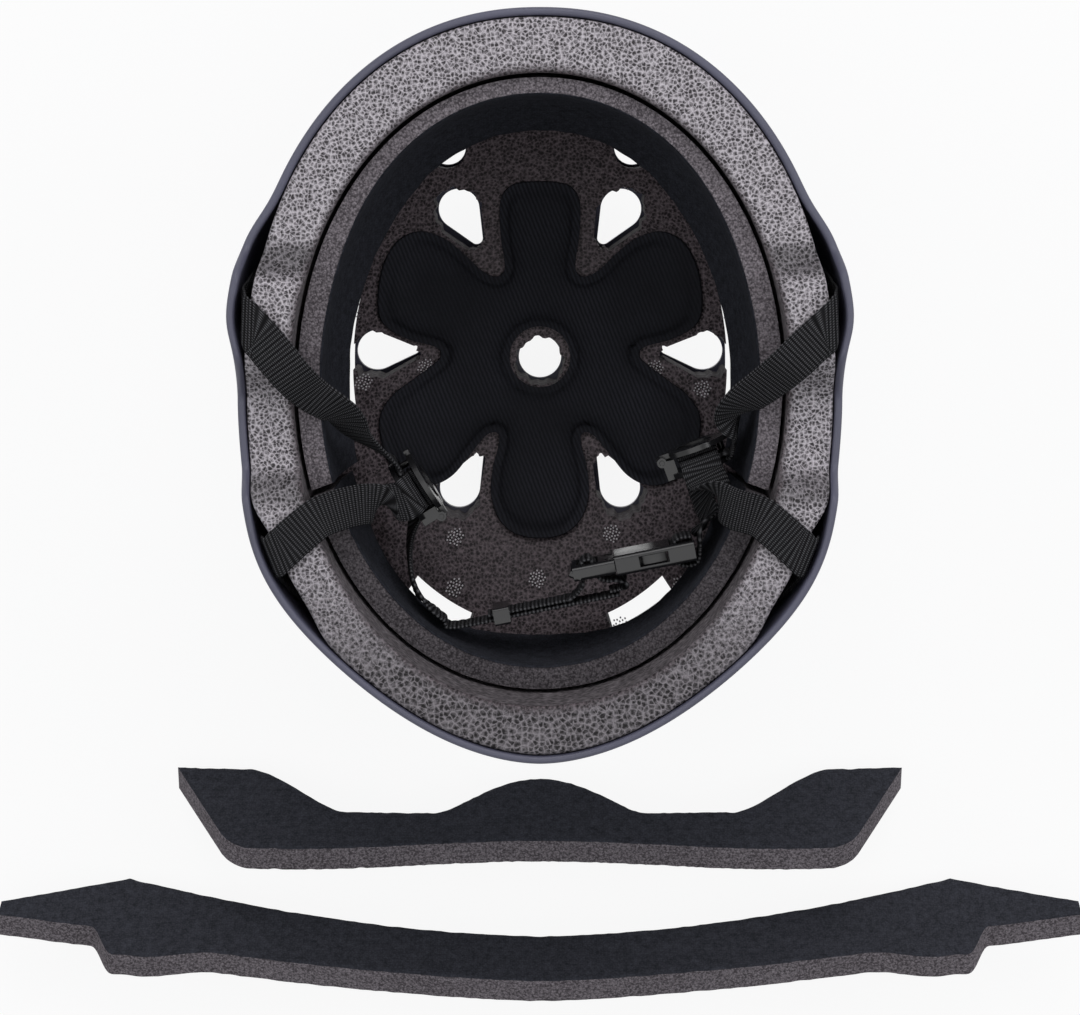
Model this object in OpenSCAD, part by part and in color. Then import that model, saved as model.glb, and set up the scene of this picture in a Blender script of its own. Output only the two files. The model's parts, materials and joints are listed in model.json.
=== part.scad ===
// Round multi-sport helmet, resting on its crown with the opening up.
// The origin is the outer edge of the crown vent. +Z points out of the opening,
// +Y to the brow and +X to the wearer's left. Lengths are in millimetres.

/* [Shell] */
// Half width of the shell at its widest section, without the flares
shell_half_w = 110; // [106:1:116]
// Distance from the widest section to the front edge
shell_front = 140; // [136:1:146]
// Distance from the widest section to the rear edge
shell_rear = 132; // [128:1:138]
// How far the widest section lies behind the crown vent
widest_back = 5; // [2:1:8]
// Squareness of the plan in front of the widest section
front_square = 2.16; // [2.1:0.02:2.3]
// Squareness of the plan behind the widest section
rear_square = 1.82; // [1.78:0.02:1.96]
// Squareness of the dome seen from the side
dome_square = 2.25; // [2.15:0.05:2.4]
// Height of the widest section above the crown
dome_h = 118; // [114:1:122]
// Wall of the moulded shell
shell_t = 3; // [2.6:0.1:3.4]
// How far the shell flares out over the temples
temple_flare = 5; // [4.4:0.2:6]
// How far the shell bulges round the rear strap anchors
rear_bulge = 9; // [7:0.5:10]

/* [Rim line] */
// Height of the brow edge above the crown
brow_h = 130; // [127:1:134]
// Height of the temple tabs, where the front straps leave
temple_h = 145; // [141:1:149]
// Height of the arch over the ear
ear_h = 129; // [127:1:133]
// Height of the tabs where the rear straps leave
back_h = 143; // [140:1:147]
// Height of the nape edge
nape_h = 153; // [149:1:157]
// Where the brow edge starts, in front of the crown vent
brow_y = 50; // [48:1:53]
// Front end of the temple tab
tab_front_y = 39; // [37:1:42]
// Rear end of the temple tab
tab_rear_y = 12; // [9:1:14]
// Front end of the ear arch
ear_front_y = -7; // [-9:1:-4]
// Rear end of the ear arch
ear_rear_y = -31; // [-33:1:-29]
// Front end of the rear tab
back_y = -43; // [-46:1:-41]

/* [Liner] */
// Gap between the shell and the foam liner
liner_gap = 0.4; // [0.3:0.1:0.6]
// Liner thickness at the sides of the rim
liner_side = 16.5; // [15:0.5:18]
// Liner thickness at the brow
liner_front = 20; // [18:0.5:22]
// Liner thickness at the nape
liner_rear = 18; // [16.5:0.5:20]
// Liner thickness at the crown
liner_crown = 27; // [25:1:29]
// Squareness of the head cavity in plan
cavity_square = 2.05; // [2:0.05:2.15]
// Depth of the pocket that the rear strap ends lie in
anchor_pocket = 4; // [3.6:0.2:5]

/* [Vents] */
// Radius of the round crown vent in the shell
crown_vent_r = 8.5; // [7:0.5:10]
// Distance of the drop-shaped vents from the crown
drop_ring_r = 60; // [58:1:62]
// Radius of a drop vent's round end
drop_r = 8; // [6.5:0.5:9]
// Radius of a drop vent's pointed end
drop_tip_r = 2.5; // [2:0.5:3]
// Distance between a drop vent's two end radii
drop_len = 13.5; // [12:0.5:15]
// Width of the side and rear slots
slot_w = 9; // [7:0.5:10]
// Half the angle that a side slot spans
side_slot_half = 20; // [16:1:22]
// Half the angle that a rear slot spans
rear_slot_half = 9; // [7:1:11]
// Radius of the two brow vents
brow_vent_r = 7; // [6:0.5:8]
// How much wider each vent is in the liner, all round
liner_vent_grow = 2; // [1:0.5:2.5]

/* [Pads] */
// Foam thickness of the perimeter pads
pad_foam = 8; // [7:0.5:8.5]
// Thickness of the fabric on every pad
fabric_t = 0.8; // [0.6:0.1:1]
// Gap behind the pads, which the hook tabs fill
pad_gap = 1.6; // [1.5:0.1:1.8]
// Height of the pads' rim-side edge above the crown
pad_top_h = 126; // [124:1:127]
// Depth of the front pad, from the rim side to the crown side
front_pad_depth = 52; // [46:1:54]
// Depth of the rear pad at its humps
rear_pad_depth = 38; // [34:1:42]
// How much shallower the rear pad is between its humps
rear_pad_wave = 9; // [6:1:11]
// Angle below the widest section where the front and rear pads meet
pad_joint_a = 20; // [16:1:24]
// Opening between the two pads at each joint, as an angle
pad_joint_gap = 1.2; // [0.8:0.2:2]
// Radius of a round hook tab
tab_r = 6; // [5:0.5:7]
// Thickness of a hook tab
tab_t = 0.7; // [0.5:0.1:0.8]

/* [Crown pad] */
// Reach of the crown pad's petals
petal_r = 71; // [67:1:73]
// Radius of the notches between the petals
notch_r = 45; // [42:1:47]
// Radius of the hole in the middle
crown_hole_r = 14; // [12:1:16]
// Thickness of the crown pad's foam
crown_foam = 5; // [4:0.5:6]

/* [Straps] */
// Width of the webbing
web_w = 15; // [14:0.5:15.5]
// Thickness of the webbing
web_t = 1.5; // [1.2:0.1:1.6]
// Radius of a rivet's shank
rivet_r = 2; // [1.6:0.1:2.4]
// Radius of a rivet's cap
rivet_cap_r = 5.5; // [5:0.5:6.5]
// Height of a rivet's cap
rivet_cap_h = 2; // [1.6:0.1:2.4]
// Radius of the washer behind the webbing
washer_r = 5; // [4.5:0.5:6]
// Thickness of the washer
washer_t = 0.8; // [0.6:0.1:1]

/* [Strap divider] */
// Radius of the divider's discs
disc_r = 12.7; // [12.3:0.1:13.5]
// Thickness of each disc
disc_t = 2; // [1.6:0.1:2.4]
// Radius of the divider's hinge pin
hinge_pin_r = 0.9; // [0.7:0.1:1]
// Radius of the divider's hinge knuckles
knuckle_r = 1.9; // [1.8:0.1:2.2]

/* [Buckle] */
// Length of the buckle housing
housing_len = 30; // [29:0.5:31]
// Thickness of the buckle
buckle_t = 7.5; // [7:0.5:8.5]
// Width of the buckle across the two prongs
buckle_w = 22; // [21.5:0.5:24]
// Length of the plug outside the housing
plug_len = 16; // [15.5:0.5:18]
// Height of the slot that takes the plug
throat_t = 4; // [3.6:0.2:4.4]
// Width of the slot that takes the plug
throat_w = 16.5; // [16:0.5:17]
// Depth of the slot that takes the plug
throat_depth = 20; // [19.5:0.5:20.5]
// Length of each side window
window_len = 11; // [10:0.5:11]
// How far a prong's button stands into its window
button_rise = 0.6; // [0.3:0.1:0.6]
// Length of the keeper along the strap
keeper_len = 6; // [5:0.5:8]
// Wall of the keeper
keeper_t = 1.3; // [1:0.1:1.6]

/* [Spare pads] */
// Foam thickness of the spare pads
spare_foam = 11; // [9:0.5:12]
// How far the spare pads lean back
spare_lean = 30; // [22:1:34]
// Depth of the spare pads at their highest humps
spare_depth = 50; // [46:1:54]
// Half length of the short spare pad along its straight edge
short_half = 122; // [116:1:128]
// How much longer the short pad is at its humps, each side
short_slant = 27; // [22:1:30]
// Depth of the short pad between its humps
short_dip = 23; // [20:1:26]
// Half length of the long spare pad
long_half = 219; // [212:1:224]
// Depth of the long spare pad in its middle
long_mid = 27; // [24:1:30]
// Radius that the long spare pad is bowed to
long_bow = 1850; // [1600:50:2400]
// Radius that the short spare pad is bowed to
short_bow = 5200; // [4000:100:6000]
// Distance of the short spare pad's far face behind the crown vent
short_y = 192; // [190:1:200]
// Distance of the long spare pad's far face behind the crown vent
long_y = 245; // [243:1:252]

/* [Hidden] */
$fn = 48;

// Clearance between pieces that seat on each other
seat = 0.3;
// Room between the wall's flat facets and a strap that lies along it
web_seat = 1.35;
// Running clearance round a pin
run = 0.05;

slate = "#3c4254";
foam_grey = "#6d686b";
pad_grey = "#57525a";
cloth_black = "#17181c";
web_black = "#1d1d20";
plastic_black = "#26262a";

// Small helpers
function signed_pow(a, p) = sign(a) * pow(abs(a), p);
function ramp(a, b, v) = let (k = min(1, max(0, (v - a) / (b - a)))) k * k * (3 - 2 * k);
function unit(v) = v / norm(v);
function mix(a, b, k) = a + (b - a) * k;

// Plan of the shell. The angle t runs anticlockwise from +X.
function plan_power(t) = 2 / (sin(t) >= 0 ? front_square : rear_square);
function plan_y(t, inset = 0) = -widest_back
    + signed_pow(sin(t), plan_power(t)) * ((sin(t) >= 0 ? shell_front : shell_rear) - inset);
function plan_angle(y) = let (f = (y + widest_back) / (y > -widest_back ? shell_front : shell_rear))
    asin(signed_pow(f, (f >= 0 ? front_square : rear_square) / 2));
// Middle and half length of the temple flare, the rear bulge and the anchor pocket
flare_y = 37.6;
flare_half = 23.3;
bulge_y = -75;
bulge_half = 37.7;
pocket_y = -71;
pocket_half = 21;
function flare_at(y) = temple_flare * exp(-pow((y - flare_y) / flare_half, 4));
function bulge_at(y) = rear_bulge * exp(-pow((y - bulge_y) / bulge_half, 2));
function pocket_at(y) = (anchor_pocket + web_seat + 3 * seat) * exp(-pow((y - pocket_y) / pocket_half, 4));

// Height of the rim at a plan angle
function rim_z(t) = let (y = plan_y(t)) brow_h
    + (temple_h - brow_h) * ramp(brow_y, tab_front_y, y)
    + (ear_h - temple_h) * ramp(tab_rear_y, ear_front_y, y)
    + (back_h - ear_h) * ramp(ear_rear_y, back_y, y)
    + (nape_h - back_h) * ramp(bulge_y + 15, -shell_rear, y);

// Stations round the rim, closer together where the rim line steps
key_t = [-90, plan_angle(back_y), plan_angle(ear_rear_y), plan_angle(ear_front_y),
    plan_angle(tab_rear_y), plan_angle(tab_front_y), plan_angle(brow_y), 90];
key_n = [9, 2, 2, 2, 2, 2, 8];
right_t = [for (k = [0:len(key_n) - 1]) for (i = [0:key_n[k] - 1])
    mix(key_t[k], key_t[k + 1], i / key_n[k])];
rim_t = concat(right_t, [for (i = [0:len(right_t) - 1]) 180 - (i == 0 ? 90 : right_t[len(right_t) - i])]);

// Share of the full plan reached at height z on a dome whose crown is at z0
function dome_share(z, z0) = z >= dome_h ? 1
    : pow(1 - pow((dome_h - z) / (dome_h - z0), dome_square), 1 / dome_square);

// A point of the shell's surface set in by inset. flared and pocketed are 0 or 1.
flare_start_h = 75;
flare_full_h = 115;
function shell_point(t, z, inset, flared, pocketed) = let (
    s = dome_share(z, inset), y = plan_y(t), grow = ramp(flare_start_h, flare_full_h, z),
    side = bulge_at(y) + grow * (flared * flare_at(y) - pocketed * pocket_at(y)))
    [s * (signed_pow(cos(t), plan_power(t)) * (shell_half_w - inset)
        + sign(cos(t)) * sqrt(abs(cos(t))) * side),
     s * plan_y(t, inset), z];

// The head cavity: an oval dome inside the liner
liner_out = shell_t + liner_gap;
cavity_half_w = shell_half_w - liner_out - liner_side;
cavity_front = shell_front - widest_back - liner_out - liner_front;
cavity_rear = shell_rear + widest_back - liner_out - liner_rear;
cavity_y = (cavity_front - cavity_rear) / 2;
cavity_half_l = (cavity_front + cavity_rear) / 2;
cavity_z = liner_out + liner_crown;
function cavity_point(t, z, rise) = let (s = dome_share(z, cavity_z + rise))
    [s * signed_pow(cos(t), 2 / cavity_square) * (cavity_half_w - rise),
     s * (cavity_y + signed_pow(sin(t), 2 / cavity_square) * (cavity_half_l - rise)), z];
// Height of the cavity's floor, raised by rise, at a place in plan
function floor_z(x, y, rise) = let (
    s = pow(pow(abs(x / (cavity_half_w - rise)), cavity_square)
        + pow(abs(y / (cavity_half_l - rise)), cavity_square), 1 / cavity_square),
    z0 = cavity_z + rise)
    z0 + (dome_h - z0) * (1 - pow(1 - pow(min(s, 1), dome_square), 1 / dome_square));

// A closed solid between two grids of points. Each grid is a list of rows;
// front is the side seen when rows run anticlockwise and columns run up.
module skin(front, back, ring = false) {
    n = len(front);
    m = len(front[0]);
    last = ring ? n - 1 : n - 2;
    function a(i, j) = (i % n) * m + j;
    function b(i, j) = n * m + (i % n) * m + j;
    quads = concat(
        [for (i = [0:last]) for (j = [0:m - 2]) [a(i, j), a(i + 1, j), a(i + 1, j + 1), a(i, j + 1)]],
        [for (i = [0:last]) for (j = [0:m - 2]) [b(i + 1, j + 1), b(i + 1, j), b(i, j), b(i, j + 1)]],
        [for (i = [0:last]) [a(i + 1, 0), a(i, 0), b(i, 0), b(i + 1, 0)]],
        [for (i = [0:last]) [a(i, m - 1), a(i + 1, m - 1), b(i + 1, m - 1), b(i, m - 1)]],
        ring ? [] : [for (j = [0:m - 2]) [a(0, j), a(0, j + 1), b(0, j + 1), b(0, j)]],
        ring ? [] : [for (j = [0:m - 2]) [a(n - 1, j + 1), a(n - 1, j), b(n - 1, j), b(n - 1, j + 1)]]);
    polyhedron(
        points = concat([for (row = front) each row], [for (row = back) each row]),
        faces = [for (q = quads) each [[q[2], q[1], q[0]], [q[3], q[2], q[0]]]]);
}

// Heights of a dome's rings, closer together where it curves most
first_ring_a = 1.7;
function ring_z(k, n, z0) = z0 + (dome_h - z0) * (1 - pow(cos(mix(first_ring_a, 90, k / n)), 2 / dome_square));
dome_rings = 10;
rim_rings = 2;
function shell_grid(inset, flared, pocketed, rings, lip = 0) = [for (t = rim_t) concat(
    [for (k = [0:rings]) shell_point(t, ring_z(k, rings, inset), inset, flared, pocketed)],
    [for (k = [1:rim_rings])
        shell_point(t, mix(dome_h, rim_z(t) + lip, k / rim_rings), inset, flared, pocketed)])];
function cavity_grid(rings) = [for (t = rim_t) concat(
    [for (k = [0:rings]) cavity_point(t, ring_z(k, rings, cavity_z), 0)],
    [for (k = [1:rim_rings]) cavity_point(t, mix(dome_h, rim_z(t), k / rim_rings), 0)])];

// Vents, all cut along the line that the mould opens
drop_shift = 4;
brow_vent_x = 36;
brow_vent_y = 84;
vent_share = 0.86;
rear_slot_a = -62;
rear_slot_share = 0.93;
cut_h = 120;
module drop_outline(grow) {
    lean = acos((drop_r - drop_tip_r) / drop_len);
    polygon(concat(
        [for (k = [0:14]) let (a = mix(lean - 180, 180 - lean, k / 14)) (drop_r + grow) * [cos(a), sin(a)]],
        [for (k = [0:4]) let (a = mix(180 - lean, 180 + lean, k / 4))
            [-drop_len, 0] + (drop_tip_r + grow) * [cos(a), sin(a)]]));
}
module arc_outline(mid_a, half_a, grow, reach = vent_share) {
    a_x = cavity_half_w * reach;
    a_y = cavity_half_l * reach;
    half_w = slot_w / 2 + grow;
    function arc(a, side) = [(a_x + side * half_w) * cos(a), (a_y + side * half_w) * sin(a)];
    polygon(concat([for (k = [0:10]) arc(mid_a + half_a * (k / 5 - 1), 1)],
        [for (k = [10:-1:0]) arc(mid_a + half_a * (k / 5 - 1), -1)]));
}
module vents(grow) {
    for (k = [0:5]) translate([0, drop_shift, -1]) rotate(60 * k)
        translate([drop_ring_r + drop_len / 2 - (drop_r - drop_tip_r) / 2, 0, 0])
            linear_extrude(cut_h) drop_outline(grow);
    for (side = [0, 1]) mirror([side, 0, 0]) {
        translate([0, 0, -1]) linear_extrude(cut_h) arc_outline(7, side_slot_half, grow);
        translate([0, 0, -1]) linear_extrude(cut_h) arc_outline(rear_slot_a, rear_slot_half, grow, rear_slot_share);
        translate([brow_vent_x, brow_vent_y, -1]) cylinder(r = brow_vent_r + grow, h = cut_h);
    }
}

// Rivets hold the strap ends to the shell. Each seat gives a place on the wall and its normal.
front_rivet = [34, 106];
rear_rivet = [-79, 122];
function seat_angle(y, z) = plan_angle(y / dome_share(z, 0));
function wall_point(y, z, inset) = shell_point(seat_angle(y, z), z, inset, 1, 0);
function wall_normal(y, z) = let (t = seat_angle(y, z),
    along = shell_point(t + 0.5, z, 0, 1, 0) - shell_point(t - 0.5, z, 0, 1, 0),
    up = shell_point(t, z + 0.5, 0, 1, 0) - shell_point(t, z - 0.5, 0, 1, 0))
    unit(cross(along, up));
module on_wall(place, side) {
    n = wall_normal(place[0], place[1]);
    mirror([side, 0, 0]) translate(wall_point(place[0], place[1], 0))
        rotate([0, acos(n[2]), atan2(n[1], n[0])]) children();
}
web_depth = shell_t + web_seat + web_t + seat;
module rivet() {
    rotate_extrude() polygon(concat([[0, -web_depth - seat - washer_t], [rivet_r, -web_depth - seat - washer_t],
        [rivet_r, seat], [rivet_cap_r, seat], [rivet_cap_r, seat + rivet_cap_h / 3]],
        [for (k = [1:6]) let (a = 15 * k) [rivet_cap_r * cos(a), seat + rivet_cap_h * (1 + 2 * sin(a)) / 3]]));
}
module washer() {
    translate([0, 0, -web_depth - seat - washer_t]) difference() {
        cylinder(r = washer_r, h = washer_t);
        translate([0, 0, -1]) cylinder(r = rivet_r + run, h = washer_t + 2);
    }
}
module rivet_holes(places, clear) {
    for (place = places) for (side = [0, 1]) on_wall(place, side)
        translate([0, 0, -10]) cylinder(r = rivet_r + clear, h = 20);
}
module rivets_front() color(plastic_black) for (side = [0, 1]) on_wall(front_rivet, side) rivet();
module rivets_rear() color(plastic_black) for (side = [0, 1]) on_wall(rear_rivet, side) rivet();
module washers() color("silver") for (place = [front_rivet, rear_rivet]) for (side = [0, 1])
    on_wall(place, side) washer();

module shell() color(slate) difference() {
    skin(shell_grid(0, 1, 0, dome_rings), shell_grid(shell_t, 1, 0, dome_rings), true);
    vents(0);
    translate([0, 0, -1]) cylinder(r = crown_vent_r, h = cut_h);
    rivet_holes([front_rivet, rear_rivet], seat);
}
module liner() color(foam_grey) difference() {
    skin(shell_grid(liner_out, 0, 1, dome_rings), cavity_grid(dome_rings), true);
    vents(liner_vent_grow);
    translate([0, 0, -1]) cylinder(r = crown_vent_r + liner_vent_grow, h = cut_h);
}

// Perimeter pads follow the cavity wall. Fabric covers the side that faces the head.
pad_cols = 4;
function pad_grid(angles, depths, rise) = [for (i = [0:len(angles) - 1])
    [for (j = [0:pad_cols]) cavity_point(angles[i], pad_top_h - depths[i] * (1 - j / pad_cols), rise)]];
foam_back = pad_gap;
foam_face = pad_gap + pad_foam;
cover_face = foam_face + fabric_t;
front_n = 28;
rear_n = 22;
front_a = [for (i = [0:front_n]) mix(-pad_joint_a + pad_joint_gap / 2, 180 + pad_joint_a - pad_joint_gap / 2, i / front_n)];
rear_a = [for (i = [0:rear_n]) mix(180 + pad_joint_a + pad_joint_gap / 2, 360 - pad_joint_a - pad_joint_gap / 2, i / rear_n)];
front_d = [for (i = [0:front_n]) let (u = abs(2 * i / front_n - 1)) front_pad_depth * (1 - 0.12 * ramp(0.8, 1, u))];
rear_d = [for (i = [0:rear_n]) rear_pad_depth - rear_pad_wave * (0.5 - 0.5 * cos(720 * i / rear_n))];
module front_pad_foam() color(pad_grey)
    skin(pad_grid(front_a, front_d, foam_back), pad_grid(front_a, front_d, foam_face));
module front_pad_cover() color(cloth_black)
    skin(pad_grid(front_a, front_d, foam_face), pad_grid(front_a, front_d, cover_face));
module rear_pad_foam() color(pad_grey)
    skin(pad_grid(rear_a, rear_d, foam_back), pad_grid(rear_a, rear_d, foam_face));
module rear_pad_cover() color(cloth_black)
    skin(pad_grid(rear_a, rear_d, foam_face), pad_grid(rear_a, rear_d, cover_face));

// Round hook tabs stuck to the liner behind the pads
tab_h = 113;
tab_shift = 0.4;
tab_angles = [8, 50, 90, 130, 172, 225, 270, 315];
module hook_tabs() color(cloth_black) for (t = tab_angles) {
    p = cavity_point(t, tab_h, (pad_gap - tab_t) / 2 + tab_shift);
    along = cavity_point(t + 1, tab_h, 0) - cavity_point(t - 1, tab_h, 0);
    up = cavity_point(t, tab_h + 3, 0) - cavity_point(t, tab_h - 3, 0);
    n = -unit(cross(along, up));
    translate(p) rotate([0, acos(n[2]), atan2(n[1], n[0])]) cylinder(r = tab_r, h = tab_t);
}

// Crown pad: six petals round a hole, welded thin at the edge
petal_n = 60;
petal_square = 0.4;
petal_cols = 4;
// Clearance that keeps the flat facets of the pad off the liner's
petal_lift = 0.9;
function petal_edge(a) = mix(notch_r, petal_r, pow(abs(cos(3 * (a - 30))), petal_square));
function petal_grid(rise, thin) = [for (i = [0:petal_n - 1]) let (a = 360 * i / petal_n, e = petal_edge(a))
    [for (j = [0:petal_cols]) let (r = mix(crown_hole_r, e, j / petal_cols), x = r * cos(a), y = r * sin(a) + drop_shift / 2)
        [x, y, floor_z(x, y, j == 0 || j == petal_cols ? rise * thin + petal_lift : rise + petal_lift)]]];
edge_share = 0.25;
module crown_pad_foam() color(cloth_black)
    skin(petal_grid(0, 1), petal_grid(crown_foam, edge_share), true);
module crown_pad_cover() color(cloth_black)
    skin(petal_grid(crown_foam, edge_share), petal_grid(crown_foam + fabric_t, edge_share * 1.6), true);

// Webbing: a flat strip through hand-set stations, each a point and the direction of its width.
// Where the strip folds over an edge, a direction longer than this one is kept as it is, so that
// the strip is ruled along the edge.
fold_length = 1.3;
function curve(s, i, k) = let (a = s[max(i - 1, 0)], b = s[i], c = s[i + 1], d = s[min(i + 2, len(s) - 1)])
    0.5 * (2 * b + (c - a) * k + (2 * a - 5 * b + 4 * c - d) * k * k + (3 * b - a - 3 * c + d) * k * k * k);
function smooth(s, n) = concat([for (i = [0:len(s) - 2]) for (k = [0:n - 1]) curve(s, i, k / n)], [s[len(s) - 1]]);
function spot(p) = [p[0], p[1], p[2]];
module webbing(stations, n = 3) {
    s = smooth(stations, n);
    last = len(s) - 1;
    rows = [for (i = [0:last]) let (
        way = unit(spot(s[min(i + 1, last)]) - spot(s[max(i - 1, 0)])),
        raw = [s[i][3], s[i][4], s[i][5]],
        lean = min(1, max(0, norm(raw) - fold_length)) * (raw * way) / norm(cross(raw, way)),
        wide = unit(raw - (raw * way) * way) + lean * way,
        thick = unit(cross(wide, way)))
        [spot(s[i]), wide * web_w / 2, thick * web_t / 2]];
    skin([for (r = rows) [r[0] - r[1] - r[2], r[0] + r[1] - r[2]]],
        [for (r = rows) [r[0] - r[1] + r[2], r[0] + r[1] + r[2]]]);
}
// A strap station in the gap beside the shell, at a place given like a rivet's. The width lies
// along the wall: forward by the first share and up by the second.
web_inset = shell_t + web_seat + web_t / 2;
function gap_station(y, z, forward, up) = concat(wall_point(y, z, web_inset),
    forward * unit(wall_point(y + 1, z, web_inset) - wall_point(y - 1, z, web_inset))
    + up * unit(wall_point(y, z + 1, web_inset) - wall_point(y, z - 1, web_inset)));
function flip_x(s) = [for (p = s) [-p[0], p[1], p[2], -p[3], p[4], p[5]]];
over_temple = temple_h + seat + web_t / 2;
over_back = back_h + seat + web_t / 2;
front_end = [gap_station(34.2, 98, 1, 0.05), gap_station(34, 106, 1, 0.1), gap_station(32.4, 117, 1, 0.25),
    gap_station(30.4, 127, 1, 0.3), [107, 27.4, over_temple - 10, 0, 1.8, 0.2],
    [106.5, 25, over_temple - 4, -0.12, 2.4, 0], [105.8, 22.8, over_temple, -0.12, 2.4, 0],
    [103, 20, over_temple + 0.8, -0.12, 2.4, 0]];
rear_end = [gap_station(-85, 115, 1, -0.8), gap_station(-79, 122, 1, -0.8), gap_station(-73, 129, 1, -0.7),
    gap_station(-67.5, 136, 1.4, -0.4), gap_station(-64.8, 140, 2.3, 0),
    [96.8, -62.6, over_back - 0.1, 0.86, 2.15, 0], [94, -60, over_back + 0.8, 0.86, 2.15, 0]];

// Strap divider: straps drop in from above and leave downwards between two discs
layers = 3;
mouth = layers * web_t + (layers + 1) * seat;
layer_step = web_t + seat;
harness_z = dome_h - 18;
left_divider = [46, -42, harness_z];
left_turn = 238;
right_divider = [59, -30, harness_z];
right_turn = 200;
// Local X runs along the hinge side, Y up and Z towards the lid. The left divider is
// laid out on the other side and mirrored.
module divider_frame(place, turn) translate(place) rotate([0, 0, turn]) rotate([90, 0, 0]) children();
// A station inside the divider: across, up, through, and the direction of the width
function in_divider(place, turn, p, wide) = let (c = cos(turn), s = sin(turn))
    [place[0] + p[0] * c + p[2] * s, place[1] + p[0] * s - p[2] * c, place[2] + p[1],
     wide[0] * c + wide[2] * s, wide[0] * s - wide[2] * c, wide[1]];
hinge_x = disc_r + knuckle_r - 1;
hinge_z = mouth / 2 - 0.4;
knuckle_len = 4;
base_knuckle = 4;
post_r = 1.3;
post_x = -9.4;
post_y = -6.3;
module hinge_cylinder(r, from, to) translate([hinge_x, from, hinge_z]) rotate([-90, 0, 0]) cylinder(r = r, h = to - from);
module divider_base() difference() {
    union() {
        translate([0, 0, -mouth / 2 - disc_t]) cylinder(r = disc_r, h = disc_t);
        translate([post_x, post_y, -mouth / 2 - disc_t / 2]) cylinder(r = post_r, h = mouth + disc_t / 2);
        for (side = [-1, 1]) {
            translate([disc_r - 3.8, side * (knuckle_len / 2 + base_knuckle / 2 + seat) - base_knuckle / 2, -mouth / 2 - disc_t])
                cube([hinge_x - disc_r + 3.8, base_knuckle, mouth / 2 + disc_t + hinge_z]);
            hinge_cylinder(knuckle_r, side * (knuckle_len / 2 + base_knuckle / 2 + seat) - base_knuckle / 2,
                side * (knuckle_len / 2 + base_knuckle / 2 + seat) + base_knuckle / 2);
        }
    }
    hinge_cylinder(hinge_pin_r + 0.02, -20, 20);
    translate([0, 0, -mouth / 2 - disc_t - 1]) cylinder(r = 3, h = disc_t + 2);
}
module divider_lid() difference() {
    union() {
        intersection() {
            translate([0, 0, mouth / 2]) cylinder(r = disc_r, h = disc_t);
            translate([-disc_r - 1, -disc_r - 1, 0]) cube([2 * disc_r - 1.6, 2 * disc_r + 2, mouth + disc_t]);
        }
        translate([disc_r - 4, -knuckle_len / 2, mouth / 2]) cube([hinge_x - disc_r + 4, knuckle_len, disc_t]);
        hinge_cylinder(knuckle_r, -knuckle_len / 2, knuckle_len / 2);
        translate([-disc_r - 1.5, -3, mouth / 2]) cube([4, 6, disc_t]);
    }
    hinge_cylinder(hinge_pin_r + run, -20, 20);
    translate([0, 0, mouth / 2 + disc_t - 0.6]) cylinder(r = 7, h = 1);
    translate([post_x, post_y, 0]) cylinder(r = post_r + seat, h = mouth / 2 + 0.6);
}
module divider_pin() hinge_cylinder(hinge_pin_r, -knuckle_len / 2 - base_knuckle - seat, knuckle_len / 2 + base_knuckle + seat);
module divider_base_left() color(plastic_black) mirror([1, 0, 0]) divider_frame(left_divider, left_turn) divider_base();
module divider_lid_left() color(plastic_black) mirror([1, 0, 0]) divider_frame(left_divider, left_turn) divider_lid();
module divider_pin_left() color("silver") mirror([1, 0, 0]) divider_frame(left_divider, left_turn) divider_pin();
module divider_base_right() color(plastic_black) divider_frame(right_divider, right_turn) divider_base();
module divider_lid_right() color(plastic_black) divider_frame(right_divider, right_turn) divider_lid();
module divider_pin_right() color("silver") divider_frame(right_divider, right_turn) divider_pin();

// Buckle frame: X runs from the plug to the housing's end, Z across the two prongs
buckle_place = [34.8, -67.8, harness_z + 10];
buckle_turn = 11.3;
mouth_x = -7;
module buckle_frame() translate(buckle_place) rotate([0, 0, buckle_turn]) children();
function at_buckle(x, y, z = 0) = let (c = cos(buckle_turn), s = sin(buckle_turn))
    [buckle_place[0] + x * c - y * s, buckle_place[1] + x * s + y * c, buckle_place[2] + z, 0, 0, 1];
housing_end = mouth_x + housing_len;
window_x = 2;
web_slot_x = 14;
web_slot_len = 2 * web_t;
web_slot_w = web_w + 1;
corner = 1.5;
// A bar with rounded edges along X, centred on the axis
module round_bar(x0, x1, t, w, r = corner) translate([x0, 0, 0]) rotate([90, 0, 90]) linear_extrude(x1 - x0)
    union() {
        square([t - 2 * r, w], center = true);
        square([t, w - 2 * r], center = true);
        for (i = [-1, 1]) for (j = [-1, 1]) translate([i * (t / 2 - r), j * (w / 2 - r)]) circle(r);
    }
module buckle_housing() color(plastic_black) buckle_frame() difference() {
    round_bar(mouth_x, housing_end, buckle_t, buckle_w);
    translate([mouth_x - 1, -throat_t / 2, -throat_w / 2]) cube([throat_depth + 1, throat_t, throat_w]);
    translate([window_x, -throat_t / 2, -buckle_w]) cube([window_len, throat_t, 2 * buckle_w]);
    translate([web_slot_x, -buckle_t, -web_slot_w / 2]) cube([web_slot_len, 2 * buckle_t, web_slot_w]);
}
pivot_x = mouth_x - 2.2;
pivot_z = throat_w / 2 - 1.9;
pivot_r = 1.3;
arm_w = 2.2;
arm_t = throat_t - 0.6;
arm_end = mouth_x + throat_depth - 1;
swing_room = 1;
tongue_w = 2.4;
tongue_len = 13;
slot_a = -14.6;
slot_b = -19.8;
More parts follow.
